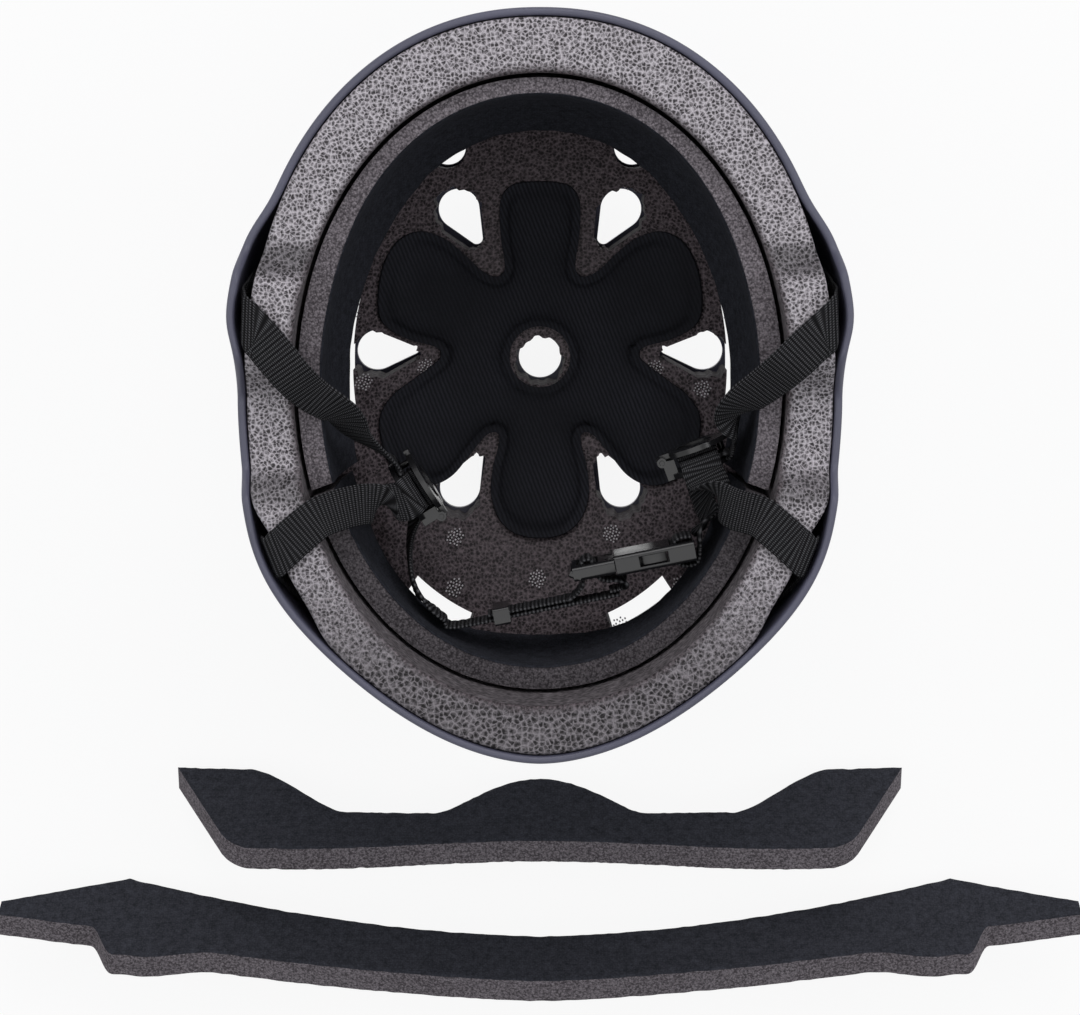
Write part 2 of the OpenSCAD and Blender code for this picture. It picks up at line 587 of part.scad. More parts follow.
module buckle_plug() color(plastic_black) buckle_frame() difference() {
    union() {
        round_bar(mouth_x - plug_len, mouth_x - seat, buckle_t - 2, buckle_w);
        translate([mouth_x - 1, -arm_t / 2, -tongue_w / 2]) cube([tongue_len + 1, arm_t, tongue_w]);
        translate([mouth_x - plug_len, 0, 0]) rotate([0, 0, -35]) round_bar(-1.5, 3.2, 2.6, buckle_w, 1);
    }
    for (x = [slot_a, slot_b]) translate([x - web_t, -buckle_t, -web_slot_w / 2]) cube([2 * web_t, 2 * buckle_t, web_slot_w]);
    for (side = [-1, 1]) {
        translate([pivot_x, 0, side * pivot_z]) rotate([90, 0, 0]) cylinder(r = pivot_r + seat, h = buckle_t, center = true);
        translate([pivot_x, -buckle_t / 2, side * pivot_z - arm_w / 2 - (side > 0 ? swing_room : seat)])
            cube([6, buckle_t, arm_w + swing_room + seat]);
    }
}
button_x = window_x + window_len / 2;
button_half = window_len / 2 - 0.8;
button_r = (button_half * button_half + button_rise * button_rise) / (2 * button_rise);
module prong() {
    translate([pivot_x, 0, pivot_z]) rotate([90, 0, 0]) cylinder(r = pivot_r, h = arm_t, center = true);
    translate([pivot_x, -arm_t / 2, pivot_z - arm_w / 2]) cube([arm_end - pivot_x - arm_w / 2, arm_t, arm_w]);
    translate([arm_end - arm_w / 2, 0, pivot_z]) rotate([90, 0, 0]) cylinder(r = arm_w / 2, h = arm_t, center = true);
    intersection() {
        translate([button_x, 0, throat_w / 2 + button_rise - button_r]) rotate([90, 0, 0])
            cylinder(r = button_r, h = arm_t, center = true, $fn = 96);
        translate([button_x - button_half, -arm_t, pivot_z]) cube([2 * button_half, 2 * arm_t, 8]);
    }
}
module upper_prong() color(plastic_black) buckle_frame() prong();
module lower_prong() color(plastic_black) buckle_frame() mirror([0, 0, 1]) prong();

// Webbing routes. The three layers in a divider lie layer_step apart.
front_left = flip_x(concat(front_end, [[99, 15.6, over_temple + 0.7, -0.4, 0.9, 0],
    [94, 9.4, over_temple + 0.3, -0.7, 0.65, 0.05], [88.6, 2.4, over_temple - 2.4, -0.75, 0.6, 0.2],
    [83, -3.6, over_temple - 8, -0.7, 0.6, 0.3], [76, -8.8, over_temple - 12, -0.6, 0.55, 0.45],
    [71.2, -13.4, over_temple - 19.2, -0.3, 0.45, 0.8],
    [67.5, -20.5, harness_z + 16, -0.3, 0.3, 0.9],
    in_divider(left_divider, left_turn, [-13, 4.2, -layer_step], [0, 1, 0]),
    in_divider(left_divider, left_turn, [-9, 3.4, -layer_step], [0, 1, 0]),
    in_divider(left_divider, left_turn, [2, 2.2, -layer_step], [0, 1, 0])]));
rear_left = flip_x(concat(rear_end, [[89, -55.4, over_back + 0.8, 0.5, 0.85, 0],
    [83.6, -50.8, over_back + 0.7, 0.55, 0.85, 0], [78, -47.4, over_back - 2.4, 0.4, 0.9, 0],
    [66, -45, over_back - 13, 0.1, 1, 0],
    in_divider(left_divider, left_turn, [0, 16.5, -6.5], [1, 0, 0]),
    in_divider(left_divider, left_turn, [0, 14.6, -2], [1, 0, 0]),
    in_divider(left_divider, left_turn, [0, 10, 0], [1, 0, 0]),
    in_divider(left_divider, left_turn, [0, -8, 0], [1, 0, 0])]));
// The chin strap's left half ends below the plug, side by side with the adjuster loop
lane_y = -11.3;
lap_y = lane_y + layer_step;
lane_z = -1;
lane_end = -7.5;
lane_start = -70;
tail_end = -57;
chin_left = concat(flip_x([in_divider(left_divider, left_turn, [0, 9, layer_step], [1, 0, 0]),
    in_divider(left_divider, left_turn, [0, -9, layer_step], [1, 0, 0])]),
    [[-44.6, -44, harness_z - 18, 0.5, -0.8, 0.25], [-46, -51, harness_z - 22.5, 0.4, -0.45, 0.8],
    [-48, -59.5, harness_z - 21, 0.25, 0, 1], [-49, -67.5, harness_z - 12, 0.1, 0.45, 0.9],
    [-48, -75, harness_z, 0, 0.45, 0.9], [-45.4, -80.6, harness_z + 7, 0, 0.3, 1],
    [-40.4, -86, harness_z + 9, 0, 0, 1], [-35.6, -90, harness_z + 9, 0, 0, 1],
    at_buckle(lane_start, lane_y, lane_z), at_buckle(-40, lane_y, lane_z), at_buckle(lane_end, lane_y, lane_z)]);
adjuster = [at_buckle(-11, lap_y, lane_z), at_buckle(-7, -9.2, lane_z), at_buckle(-4.8, -7.5, -0.5), at_buckle(-7.3, -5.9),
    at_buckle(-11.5, -5), at_buckle(slot_a, -2.5), at_buckle(slot_a, 2), at_buckle((slot_a + slot_b) / 2, 4.3),
    at_buckle(slot_b, 2), at_buckle(slot_b, -3.5), at_buckle(-21.5, -6.5, -0.4), at_buckle(-25, -9, -0.7),
    at_buckle(-30, lap_y, lane_z), at_buckle(tail_end, lap_y, lane_z)];
front_right = concat(front_end, [[99, 16.4, over_temple + 0.7, -0.4, 0.9, 0],
    [94, 11.6, over_temple + 0.4, -0.65, 0.7, 0.05], [88.8, 6.4, over_temple - 1, -0.7, 0.6, 0.15],
    [82.4, 0.4, over_temple - 7, -0.65, 0.6, 0.3], [75.4, -5.6, over_temple - 13, -0.5, 0.55, 0.45],
    [71, -11.2, harness_z + 25.6, -0.3, 0.4, 0.85], [72.6, -18, harness_z + 12, -0.1, 0.2, 0.9],
    in_divider(right_divider, right_turn, [-13, 4.2, -layer_step + 0.7], [0, 1, 0]),
    in_divider(right_divider, right_turn, [-9, 3.4, -layer_step], [0, 1, 0]),
    in_divider(right_divider, right_turn, [2, 2.2, -layer_step], [0, 1, 0])]);
rear_right = concat(rear_end, [[89, -55.4, over_back + 0.8, 0.5, 0.85, 0],
    [83.8, -51, over_back + 0.7, 0.55, 0.85, 0], [79, -47.8, over_back - 2, 0.4, 0.9, 0],
    [68.4, -45.2, over_back - 13.6, 0.1, 1, 0],
    in_divider(right_divider, right_turn, [0, 16.5, -7], [1, 0, 0]),
    in_divider(right_divider, right_turn, [0, 14.6, -2], [1, 0, 0]),
    in_divider(right_divider, right_turn, [0, 10, 0], [1, 0, 0]),
    in_divider(right_divider, right_turn, [0, -8, 0], [1, 0, 0])]);
chin_right = [in_divider(right_divider, right_turn, [0, 9, layer_step], [1, 0, 0]),
    in_divider(right_divider, right_turn, [0, -9, layer_step], [1, 0, 0]),
    in_divider(right_divider, right_turn, [0, -13, layer_step - 0.4], [1, 0, 0]),
    [61, -36, harness_z - 18, 0.9, 0.3, 0.3], [62.6, -45, harness_z - 10, 0.5, 0.1, 0.8],
    [63, -52, harness_z + 3, 0, 0, 1], at_buckle(26.4, 6.4), at_buckle(25, 0), at_buckle(23, -5),
    at_buckle(18, -5.2), at_buckle(15.5, -3), at_buckle(15.5, 3), at_buckle(18, 5.2), at_buckle(22.6, 5)];

module front_strap_left() color(web_black) difference() { webbing(front_left); rivet_holes([front_rivet], run); }
module front_strap_right() color(web_black) difference() { webbing(front_right); rivet_holes([front_rivet], run); }
module rear_strap_left() color(web_black) difference() { webbing(rear_left); rivet_holes([rear_rivet], run); }
module rear_strap_right() color(web_black) difference() { webbing(rear_right); rivet_holes([rear_rivet], run); }
module chin_strap_left() color(web_black) webbing(chin_left);
module chin_strap_right() color(web_black) webbing(chin_right);
module adjuster_strap() color(web_black) webbing(adjuster);

// The keeper slides along the doubled strap
keeper_x = -52;
module strap_keeper() color(plastic_black)
    buckle_frame() translate([keeper_x, (lane_y + lap_y) / 2, lane_z]) difference() {
        t_in = 2 * web_t + 3 * seat;
        w_in = web_w + 2 * seat;
        round_bar(-keeper_len / 2, keeper_len / 2, t_in + 2 * keeper_t, w_in + 2 * keeper_t, 1);
        cube([keeper_len + 2, t_in, w_in], center = true);
    }

// Spare pads stand on their humps, bowed a little and leaning back
function lean_point(half, bow, y0, top, u, w, slant, deep) = let (
    a = u * (half + slant * w / spare_depth) / bow * 180 / PI,
    out = -w * sin(spare_lean) + deep * cos(spare_lean))
    [(bow + out) * sin(a), -y0 + bow - (bow + out) * cos(a),
     top - w * cos(spare_lean) - deep * sin(spare_lean)];
spare_n = 44;
spare_top = spare_depth * cos(spare_lean) + (spare_foam + fabric_t) * sin(spare_lean);
function short_deep(u) = short_dip + (spare_depth - short_dip) * ramp(0.5, 0.8, abs(u))
    + (abs(u) < 0.31 ? 0.78 * (spare_depth - short_dip) * pow(cos(u / 0.31 * 90), 1.4) : 0);
long_end_step = 10;
long_end_deep = 29;
function long_deep(u) = abs(u) < 0.775 ? mix(long_mid, spare_depth, pow(abs(u) / 0.775, 1.6))
    : mix(spare_depth, long_end_deep, (abs(u) - 0.775) / 0.225);
function long_edge(u) = long_end_step * ramp(0.8, 0.82, abs(u));
long_u = concat([for (k = [0:3]) mix(-1, -0.82, k / 3)], [-0.8, -0.775], [for (k = [1:29]) mix(-0.775, 0.775, k / 30)],
    [0.775, 0.8], [for (k = [0:3]) mix(0.82, 1, k / 3)]);
function short_grid(deep) = [for (k = [0:spare_n]) let (u = 2 * k / spare_n - 1) [for (w = [short_deep(u), 0])
    lean_point(short_half, short_bow, short_y, spare_top, u, w, short_slant, deep)]];
function long_grid(deep) = [for (u = long_u) [for (w = [long_deep(u), long_edge(u)])
    lean_point(long_half, long_bow, long_y, spare_top, u, w, 0, deep)]];
spare_back = fabric_t + spare_foam;
module short_spare_foam() color(pad_grey) skin(short_grid(spare_back), short_grid(fabric_t));
module short_spare_cover() color(cloth_black) skin(short_grid(fabric_t), short_grid(0));
module long_spare_foam() color(pad_grey) skin(long_grid(spare_back), long_grid(fabric_t));
module long_spare_cover() color(cloth_black) skin(long_grid(fabric_t), long_grid(0));

shell();
liner();
rivets_front();
rivets_rear();
washers();
crown_pad_foam();
crown_pad_cover();
front_pad_foam();
front_pad_cover();
rear_pad_foam();
rear_pad_cover();
hook_tabs();
front_strap_left();
rear_strap_left();
chin_strap_left();
front_strap_right();
rear_strap_right();
chin_strap_right();
divider_base_left();
divider_lid_left();
divider_pin_left();
divider_base_right();
divider_lid_right();
divider_pin_right();
buckle_housing();
buckle_plug();
upper_prong();
lower_prong();
adjuster_strap();
strap_keeper();
short_spare_foam();
short_spare_cover();
long_spare_foam();
long_spare_cover();
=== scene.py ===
"""Round multi-sport helmet lying on its crown, seen into the bowl, with two spare fit pads."""
import json
import bmesh
import bpy
import numpy as np
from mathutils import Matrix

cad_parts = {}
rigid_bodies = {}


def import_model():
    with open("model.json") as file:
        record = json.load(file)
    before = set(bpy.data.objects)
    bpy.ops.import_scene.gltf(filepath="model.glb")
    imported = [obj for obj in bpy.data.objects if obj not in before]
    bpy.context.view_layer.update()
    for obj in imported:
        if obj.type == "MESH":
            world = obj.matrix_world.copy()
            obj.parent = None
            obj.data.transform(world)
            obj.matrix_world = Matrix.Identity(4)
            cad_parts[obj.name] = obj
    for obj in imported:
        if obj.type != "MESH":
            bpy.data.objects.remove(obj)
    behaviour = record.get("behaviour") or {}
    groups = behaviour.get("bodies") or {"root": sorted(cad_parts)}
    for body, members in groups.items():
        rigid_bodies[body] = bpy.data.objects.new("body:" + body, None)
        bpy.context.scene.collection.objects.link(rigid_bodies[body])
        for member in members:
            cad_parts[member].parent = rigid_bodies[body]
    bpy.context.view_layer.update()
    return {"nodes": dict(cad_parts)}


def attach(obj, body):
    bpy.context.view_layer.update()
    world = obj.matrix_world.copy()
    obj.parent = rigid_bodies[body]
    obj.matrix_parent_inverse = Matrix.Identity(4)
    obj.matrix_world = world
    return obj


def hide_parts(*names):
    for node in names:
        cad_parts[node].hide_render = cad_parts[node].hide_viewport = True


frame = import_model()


# Camera. The photograph looks down into the bowl from a little in front of the brow,
# from about 1.3 m away, so the rim reaches further out than the crown does.
eye = bpy.data.cameras.new("eye")
eye.lens = 111.44
eye.sensor_width = 36
eye_object = bpy.data.objects.new("eye", eye)
eye_object.location = (0, 0.097636, 1.34317)
eye_object.rotation_euler = (-0.117875, 0, 0)
bpy.context.collection.objects.link(eye_object)
bpy.context.scene.camera = eye_object


# Table and light. The helmet lies on a pale table under broad soft lamps. The table
# looks white to the eye and in reflections, and still takes a faint shadow.
SHADOW_SHARE = 0.1
bpy.context.scene.view_settings.view_transform = "Standard"


def seen_directly(tree):
    """One where a ray comes from the camera or by reflection or refraction, zero elsewhere."""
    path = tree.nodes.new("ShaderNodeLightPath")
    first = tree.nodes.new("ShaderNodeMath")
    first.operation = "MAXIMUM"
    second = tree.nodes.new("ShaderNodeMath")
    second.operation = "MAXIMUM"
    tree.links.new(path.outputs["Is Camera Ray"], first.inputs[0])
    tree.links.new(path.outputs["Is Glossy Ray"], first.inputs[1])
    tree.links.new(first.outputs[0], second.inputs[0])
    tree.links.new(path.outputs["Is Transmission Ray"], second.inputs[1])
    return second.outputs[0]


world = bpy.data.worlds.new("studio")
bpy.context.scene.world = world
world.use_nodes = True
tree = world.node_tree
soft_sky = tree.nodes["Background"]
soft_sky.inputs["Color"].default_value = (0.93, 0.96, 1.0, 1)
soft_sky.inputs["Strength"].default_value = 0.3
white_sky = tree.nodes.new("ShaderNodeBackground")
white_sky.inputs["Color"].default_value = (1, 1, 1, 1)
white_sky.inputs["Strength"].default_value = 1.0
sky_mix = tree.nodes.new("ShaderNodeMixShader")
tree.links.new(seen_directly(tree), sky_mix.inputs[0])
tree.links.new(soft_sky.outputs[0], sky_mix.inputs[1])
tree.links.new(white_sky.outputs[0], sky_mix.inputs[2])
tree.links.new(sky_mix.outputs[0], tree.nodes["World Output"].inputs["Surface"])

table_top = bpy.data.materials.new("table_top")
table_top.use_nodes = True
tree = table_top.node_tree
lit = tree.nodes["Principled BSDF"]
lit.inputs["Base Color"].default_value = (0.9, 0.9, 0.9, 1)
lit.inputs["Roughness"].default_value = 0.9
lit.inputs["Specular IOR Level"].default_value = 0.1
glow = tree.nodes.new("ShaderNodeEmission")
keep = tree.nodes.new("ShaderNodeMath")
keep.operation = "MULTIPLY"
keep.inputs[1].default_value = 1 - SHADOW_SHARE
top_mix = tree.nodes.new("ShaderNodeMixShader")
tree.links.new(seen_directly(tree), keep.inputs[0])
tree.links.new(keep.outputs[0], top_mix.inputs[0])
tree.links.new(lit.outputs[0], top_mix.inputs[1])
tree.links.new(glow.outputs[0], top_mix.inputs[2])
tree.links.new(top_mix.outputs[0], tree.nodes["Material Output"].inputs["Surface"])
table_mesh = bpy.data.meshes.new("table")
table_mesh.from_pydata([(-6, -6, 0), (6, -6, 0), (6, 6, 0), (-6, 6, 0)], [], [(0, 1, 2, 3)])
table_mesh.materials.append(table_top)
table = bpy.data.objects.new("table", table_mesh)
bpy.context.collection.objects.link(table)

for name, place, turn, size, power, tint in [
        ("lamp_brow", (0.15, 1.5, 1.3), (-0.86, 0.1, 0), 1.3, 14, (1, 0.98, 1)),
        ("lamp_left", (-1.5, 0.35, 1.15), (0, -0.92, 0), 1.1, 6.5, (0.96, 0.97, 1)),
        ("lamp_right", (1.5, 0.3, 1.15), (0, 0.92, 0), 1.1, 8, (0.95, 0.96, 1)),
        ("lamp_above", (0, -0.5, 2.2), (0.22, 0, 0), 1.6, 8, (1, 1, 1))]:
    lamp = bpy.data.lights.new(name, "AREA")
    lamp.size = size
    lamp.energy = power
    lamp.color = tint
    lamp_object = bpy.data.objects.new(name, lamp)
    lamp_object.location = place
    lamp_object.rotation_euler = turn
    bpy.context.collection.objects.link(lamp_object)


# Shell. A hard shell about 3 mm thick, injection moulded in matt slate-blue plastic, with
# vents pierced along the mould's opening line and a rolled edge round the rim.
MM = 0.001
SHELL_HALF_W, SHELL_FRONT, SHELL_REAR = 110, 140, 132
WIDEST_BACK, FRONT_SQUARE, REAR_SQUARE = 5, 2.16, 1.82
DOME_SQUARE, DOME_H, SHELL_T = 2.25, 118, 3
TEMPLE_FLARE, FLARE_Y, FLARE_HALF = 5, 37.6, 23.3
REAR_BULGE, BULGE_Y, BULGE_HALF = 9, -75, 37.7
FLARE_START_H, FLARE_FULL_H = 75, 115
POCKET, POCKET_Y, POCKET_HALF = 6.25, -71, 21
BROW_H, TEMPLE_H, EAR_H, BACK_H, NAPE_H = 130, 145, 129, 143, 153
CROWN_VENT_R, CUT_H = 8.5, 120
DROP_R, DROP_TIP_R, DROP_LENGTH, DROP_OUT, DROP_FORWARD = 8, 2.5, 13.5, 64, 4
SLOT_PLAN, SLOT_HALF = (90.1, 113.6), 4.5
ROUND_VENT = (36, 84, 7)
COLUMNS = 432


def signed_power(a, p):
    """The power p of the size of a, with the sign of a."""
    return np.sign(a) * np.abs(a) ** p


def ramp(low, high, v):
    """A smooth step, from 0 at low to 1 at high: three k squared less two k cubed."""
    k = np.clip((v - low) / (high - low), 0, 1)
    return k * k * (3 - 2 * k)


def plan_power(t):
    """The exponent that squares off the plan, one value before the widest section, one behind."""
    return np.where(np.sin(t) >= 0, 2 / FRONT_SQUARE, 2 / REAR_SQUARE)


def plan_y(t, inset=0):
    """The plan's y at angle t: a superellipse with its own length before and behind the middle."""
    reach = np.where(np.sin(t) >= 0, SHELL_FRONT, SHELL_REAR) - inset
    return -WIDEST_BACK + signed_power(np.sin(t), plan_power(t)) * reach


def rim_z(t):
    """The rim's height at angle t: level stretches joined by smooth steps along y."""
    y = plan_y(t)
    return (BROW_H + (TEMPLE_H - BROW_H) * ramp(50, 39, y) + (EAR_H - TEMPLE_H) * ramp(12, -7, y)
            + (BACK_H - EAR_H) * ramp(-31, -43, y)
            + (NAPE_H - BACK_H) * ramp(BULGE_Y + 15, -SHELL_REAR, y))


def dome_share(z, z0):
    """Share of the full plan reached at height z, on a superellipse with its pole at z0."""
    k = np.clip((DOME_H - z) / (DOME_H - z0), 0, 1)
    return (1 - k ** DOME_SQUARE) ** (1 / DOME_SQUARE)


def shell_point(t, z, inset, flared=1, pocketed=0):
    """A point of the shell set in by inset: the plan scaled by the dome's share at z, with
    a flare over the temples and a bulge round the rear anchors added across."""
    share, y = dome_share(z, inset), plan_y(t)
    grow = ramp(FLARE_START_H, FLARE_FULL_H, z)
    side = (REAR_BULGE * np.exp(-((y - BULGE_Y) / BULGE_HALF) ** 2)
            + grow * flared * TEMPLE_FLARE * np.exp(-((y - FLARE_Y) / FLARE_HALF) ** 4)
            - grow * pocketed * POCKET * np.exp(-((y - POCKET_Y) / POCKET_HALF) ** 4))
    wide = signed_power(np.cos(t), plan_power(t)) * (SHELL_HALF_W - inset)
    x = share * (wide + np.sign(np.cos(t)) * np.sqrt(np.abs(np.cos(t))) * side)
    return np.stack([x, share * plan_y(t, inset), z + 0 * x], axis=-1)


def wall_heights(t, z0, rings, rows, drop):
    """Heights up a wall at each angle: even steps of a quarter turn over the dome, then even
    steps from the widest section to the rim less drop."""
    quarter = np.linspace(np.radians(1.7), np.pi / 2, rings + 1)
    dome = z0 + (DOME_H - z0) * (1 - np.cos(quarter) ** (2 / DOME_SQUARE))
    up = np.linspace(0, 1, rows + 1)[1:]
    top = rim_z(t)[:, None] - drop
    return np.concatenate([np.repeat(dome[None], len(t), 0), DOME_H + (top - DOME_H) * up], axis=1)


def grid_faces(n, m, ring_u, ring_v, start=0):
    """Quads that join an n by m grid of points, closed on itself along u or v where asked."""
    i = np.arange(n if ring_u else n - 1)[:, None]
    j = np.arange(m if ring_v else m - 1)[None]
    a, b = i * m + j, ((i + 1) % n) * m + j
    c, d = ((i + 1) % n) * m + (j + 1) % m, i * m + (j + 1) % m
    return np.stack([a, b, c, d], axis=-1).reshape(-1, 4) + start


def make_piece(name, points, faces, material, body="helmet", slot=None, smooth=40):
    """A mesh object from points in millimetres and a list of face index rows. It is turned
    right side out, shaded smooth up to an angle, and set to ride on its body."""
    mesh = bpy.data.meshes.new(name)
    mesh.from_pydata((np.asarray(points, float) * MM).tolist(), [],
                     [list(map(int, f)) for f in faces])
    mesh.update()
    piece = bpy.data.objects.new(name, mesh)
    bpy.context.collection.objects.link(piece)
    face_out(mesh)
    mesh.materials.append(material)
    mesh.shade_smooth()
    mesh.set_sharp_from_angle(angle=np.radians(smooth))
    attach(piece, body)
    return piece


def face_out(mesh):
    """Flips a closed mesh whose signed volume, summed over its triangles, is negative."""
    mesh.calc_loop_triangles()
    corners = np.zeros(len(mesh.loop_triangles) * 3, int)
    mesh.loop_triangles.foreach_get("vertices", corners)
    at = np.zeros(len(mesh.vertices) * 3)
    mesh.vertices.foreach_get("co", at)
    a, b, c = at.reshape(-1, 3)[corners.reshape(-1, 3)].transpose(1, 0, 2)
    if np.einsum("ij,ij->", a, np.cross(b, c)) < 0:
        mesh.flip_normals()


angles = np.linspace(0, 2 * np.pi, COLUMNS, endpoint=False)


def drop_outline(grow):
    """A drop: a large round end and a small round tip, joined by straight sides."""
    lean = np.arccos((DROP_R - DROP_TIP_R) / DROP_LENGTH)
    big = np.linspace(lean - np.pi, np.pi - lean, 36)
    tip = np.linspace(np.pi - lean, np.pi + lean, 14)
    return np.concatenate([
        (DROP_R + grow) * np.stack([np.cos(big), np.sin(big)], 1),
        [-DROP_LENGTH, 0] + (DROP_TIP_R + grow) * np.stack([np.cos(tip), np.sin(tip)], 1)])


def arc_outline(middle, half, grow, reach):
    """A slot bent along the cavity's plan scaled by reach, with square ends."""
    across = np.array(SLOT_PLAN) * reach
    wide = SLOT_HALF + grow
    a = np.radians(middle + half * np.linspace(-1, 1, 40))
    outer = np.stack([(across[0] + wide) * np.cos(a), (across[1] + wide) * np.sin(a)], 1)
    inner = np.stack([(across[0] - wide) * np.cos(a), (across[1] - wide) * np.sin(a)], 1)
    return np.concatenate([outer, inner[::-1]])


def round_outline(x, y, r):
    """A circle of radius r about a point."""
    a = np.linspace(0, 2 * np.pi, 56, endpoint=False)
    return np.stack([x + r * np.cos(a), y + r * np.sin(a)], 1)


def vent_outlines(grow):
    """Every vent's outline in plan, grown by the same amount all round."""
    outlines = [round_outline(0, 0, CROWN_VENT_R + grow)]
    for k in range(6):
        a = np.radians(60 * k)
        turn = np.array([[np.cos(a), np.sin(a)], [-np.sin(a), np.cos(a)]])
        outlines.append((drop_outline(grow) + [DROP_OUT, 0]) @ turn + [0, DROP_FORWARD])
    for side in (1, -1):
        for outline in (arc_outline(7, 20, grow, 0.86), arc_outline(-62, 9, grow, 0.93),
                        round_outline(*ROUND_VENT[:2], ROUND_VENT[2] + grow)):
            outlines.append((outline * [side, 1])[::side])
    return outlines


def pierce(piece, outlines, top):
    """Cuts prisms that stand on the outlines out of a piece, and keeps its finish."""
    bars = bpy.data.collections.new("bars")
    for outline in outlines:
        n = len(outline)
        low = np.c_[outline, np.full(n, -5)]
        bar = bpy.data.meshes.new("bar")
        bar.from_pydata((np.concatenate([low, low + [0, 0, top + 5]]) * MM).tolist(), [],
                        [list(range(n))[::-1], list(range(n, 2 * n))]
                        + [[i, (i + 1) % n, n + (i + 1) % n, n + i] for i in range(n)])
        bars.objects.link(bpy.data.objects.new("bar", bar))
    cut = piece.modifiers.new("vents", "BOOLEAN")
    cut.operation, cut.operand_type, cut.collection, cut.solver = "DIFFERENCE", "COLLECTION", bars, "EXACT"
    bpy.context.scene.collection.children.link(bars)
    graph = bpy.context.evaluated_depsgraph_get()
    mesh = bpy.data.meshes.new_from_object(piece.evaluated_get(graph))
    piece.modifiers.clear()
    piece.data = mesh
    for bar in list(bars.objects):
        bpy.data.objects.remove(bar)
    bpy.data.collections.remove(bars)
    mesh.shade_smooth()
    mesh.set_sharp_from_angle(angle=np.radians(40))


def new_material(name, color, rough, **sockets):
    """A material with one Principled shader, and its values set on the shader's own sockets."""
    material = bpy.data.materials.new(name)
    material.use_nodes = True
    shader = material.node_tree.nodes["Principled BSDF"]
    shader.inputs["Base Color"].default_value = (*color, 1)
    shader.inputs["Roughness"].default_value = rough
    for socket, value in sockets.items():
        shader.inputs[socket.replace("_", " ")].default_value = value
    return material, material.node_tree, shader


def new_effect(name, inputs, outputs):
    """An empty node group with named inputs, each a (kind, value) pair, and named outputs."""
    group = bpy.data.node_groups.new(name, "ShaderNodeTree")
    for label, (kind, value) in inputs.items():
        socket = group.interface.new_socket(name=label, in_out="INPUT", socket_type="NodeSocket" + kind)
        socket.default_value = value
    for label, kind in outputs.items():
        group.interface.new_socket(name=label, in_out="OUTPUT", socket_type="NodeSocket" + kind)
    return group, group.nodes.new("NodeGroupInput"), group.nodes.new("NodeGroupOutput")


def put(tree, kind, links=(), **values):
    """A node of a kind, with properties set, and links given as (socket or number, input)."""
    node = tree.nodes.new("ShaderNode" + kind)
    for key, value in values.items():
        setattr(node, key, value)
    for source, socket in links:
        target = node.inputs[socket]
        if hasattr(source, "is_output"):
            tree.links.new(source, target)
        else:
            target.default_value = source
    return node


def stretch(tree, value, low, high, start=0.0, end=1.0):
    """The value's place between low and high, spread over start to end."""
    return put(tree, "MapRange", [(value, "Value"), (low, "From Min"), (high, "From Max"),
                                  (start, "To Min"), (end, "To Max")]).outputs[0]


def calc(tree, operation, *terms):
    """Arithmetic on sockets or numbers."""
    return put(tree, "Math", [(term, i) for i, term in enumerate(terms)], operation=operation).outputs[0]


def blend(tree, share, low, high):
    """A colour between low and high by a share from 0 to 1."""
    return put(tree, "Mix", [(share, 0), (low, 6), (high, 7)], data_type="RGBA").outputs[2]


def noise(tree, vector, scale, detail=2.0):
    """Cloudy noise over a vector."""
    return put(tree, "TexNoise", [(vector, "Vector"), (scale, "Scale"), (detail, "Detail")])


def dress(tree, shader, color, height, strength, distance):
    """Feeds a colour and a height's relief to a shader."""
    relief = put(tree, "Bump", [(height, "Height"), (strength, "Strength"), (distance, "Distance")])
    tree.links.new(color, shader.inputs["Base Color"])
    tree.links.new(relief.outputs[0], shader.inputs["Normal"])


def use_effect(tree, group, **values):
    """Places a node group in a material's tree, with its own values."""
    node = tree.nodes.new("ShaderNodeGroup")
    node.node_tree = group
    for key, value in values.items():
        node.inputs[key.replace("_", " ")].default_value = value
    return node


# Moulded plastic's skin: a fine leathery grain, with cloudy patches a little rougher
moulded, given, out = new_effect("moulded_skin", {
    "Vector": ("Vector", (0, 0, 0)), "Color": ("Color", (0.1, 0.1, 0.1, 1)),
    "Rough": ("Float", 0.5), "Grain": ("Float", 900.0), "Depth": ("Float", 0.1)},
    {"Color": "Color", "Rough": "Float", "Height": "Float"})
grain = noise(moulded, given.outputs["Vector"], given.outputs["Grain"], 3.0)
cloud = noise(moulded, given.outputs["Vector"], 24.0, 5.0)
shade = stretch(moulded, cloud.outputs["Fac"], 0.3, 0.7, 0.86, 1.12)
tinted = put(moulded, "VectorMath", [(given.outputs["Color"], 0), (shade, 1)], operation="MULTIPLY")
patch = stretch(moulded, cloud.outputs["Fac"], 0.35, 0.7, -0.05, 0.08)
rough = calc(moulded, "ADD", given.outputs["Rough"], patch)
height = calc(moulded, "MULTIPLY", grain.outputs["Fac"], given.outputs["Depth"])
for source, label in ((tinted.outputs[0], "Color"), (rough, "Rough"), (height, "Height")):
    moulded.links.new(source, out.inputs[label])


def moulded_material(name, color, rough, grain=900.0, bump=0.25, **sockets):
    """Plastic with a moulded skin of a colour, roughness and grain."""
    material, tree, shader = new_material(name, color, rough, **sockets)
    place = put(tree, "TexCoord")
    skin = use_effect(tree, moulded, Color=(*color, 1), Rough=rough, Grain=grain, Depth=1.0)
    tree.links.new(place.outputs["Object"], skin.inputs["Vector"])
    dress(tree, shader, skin.outputs["Color"], skin.outputs["Height"], bump, 0.00025)
    tree.links.new(skin.outputs["Rough"], shader.inputs["Roughness"])
    return material


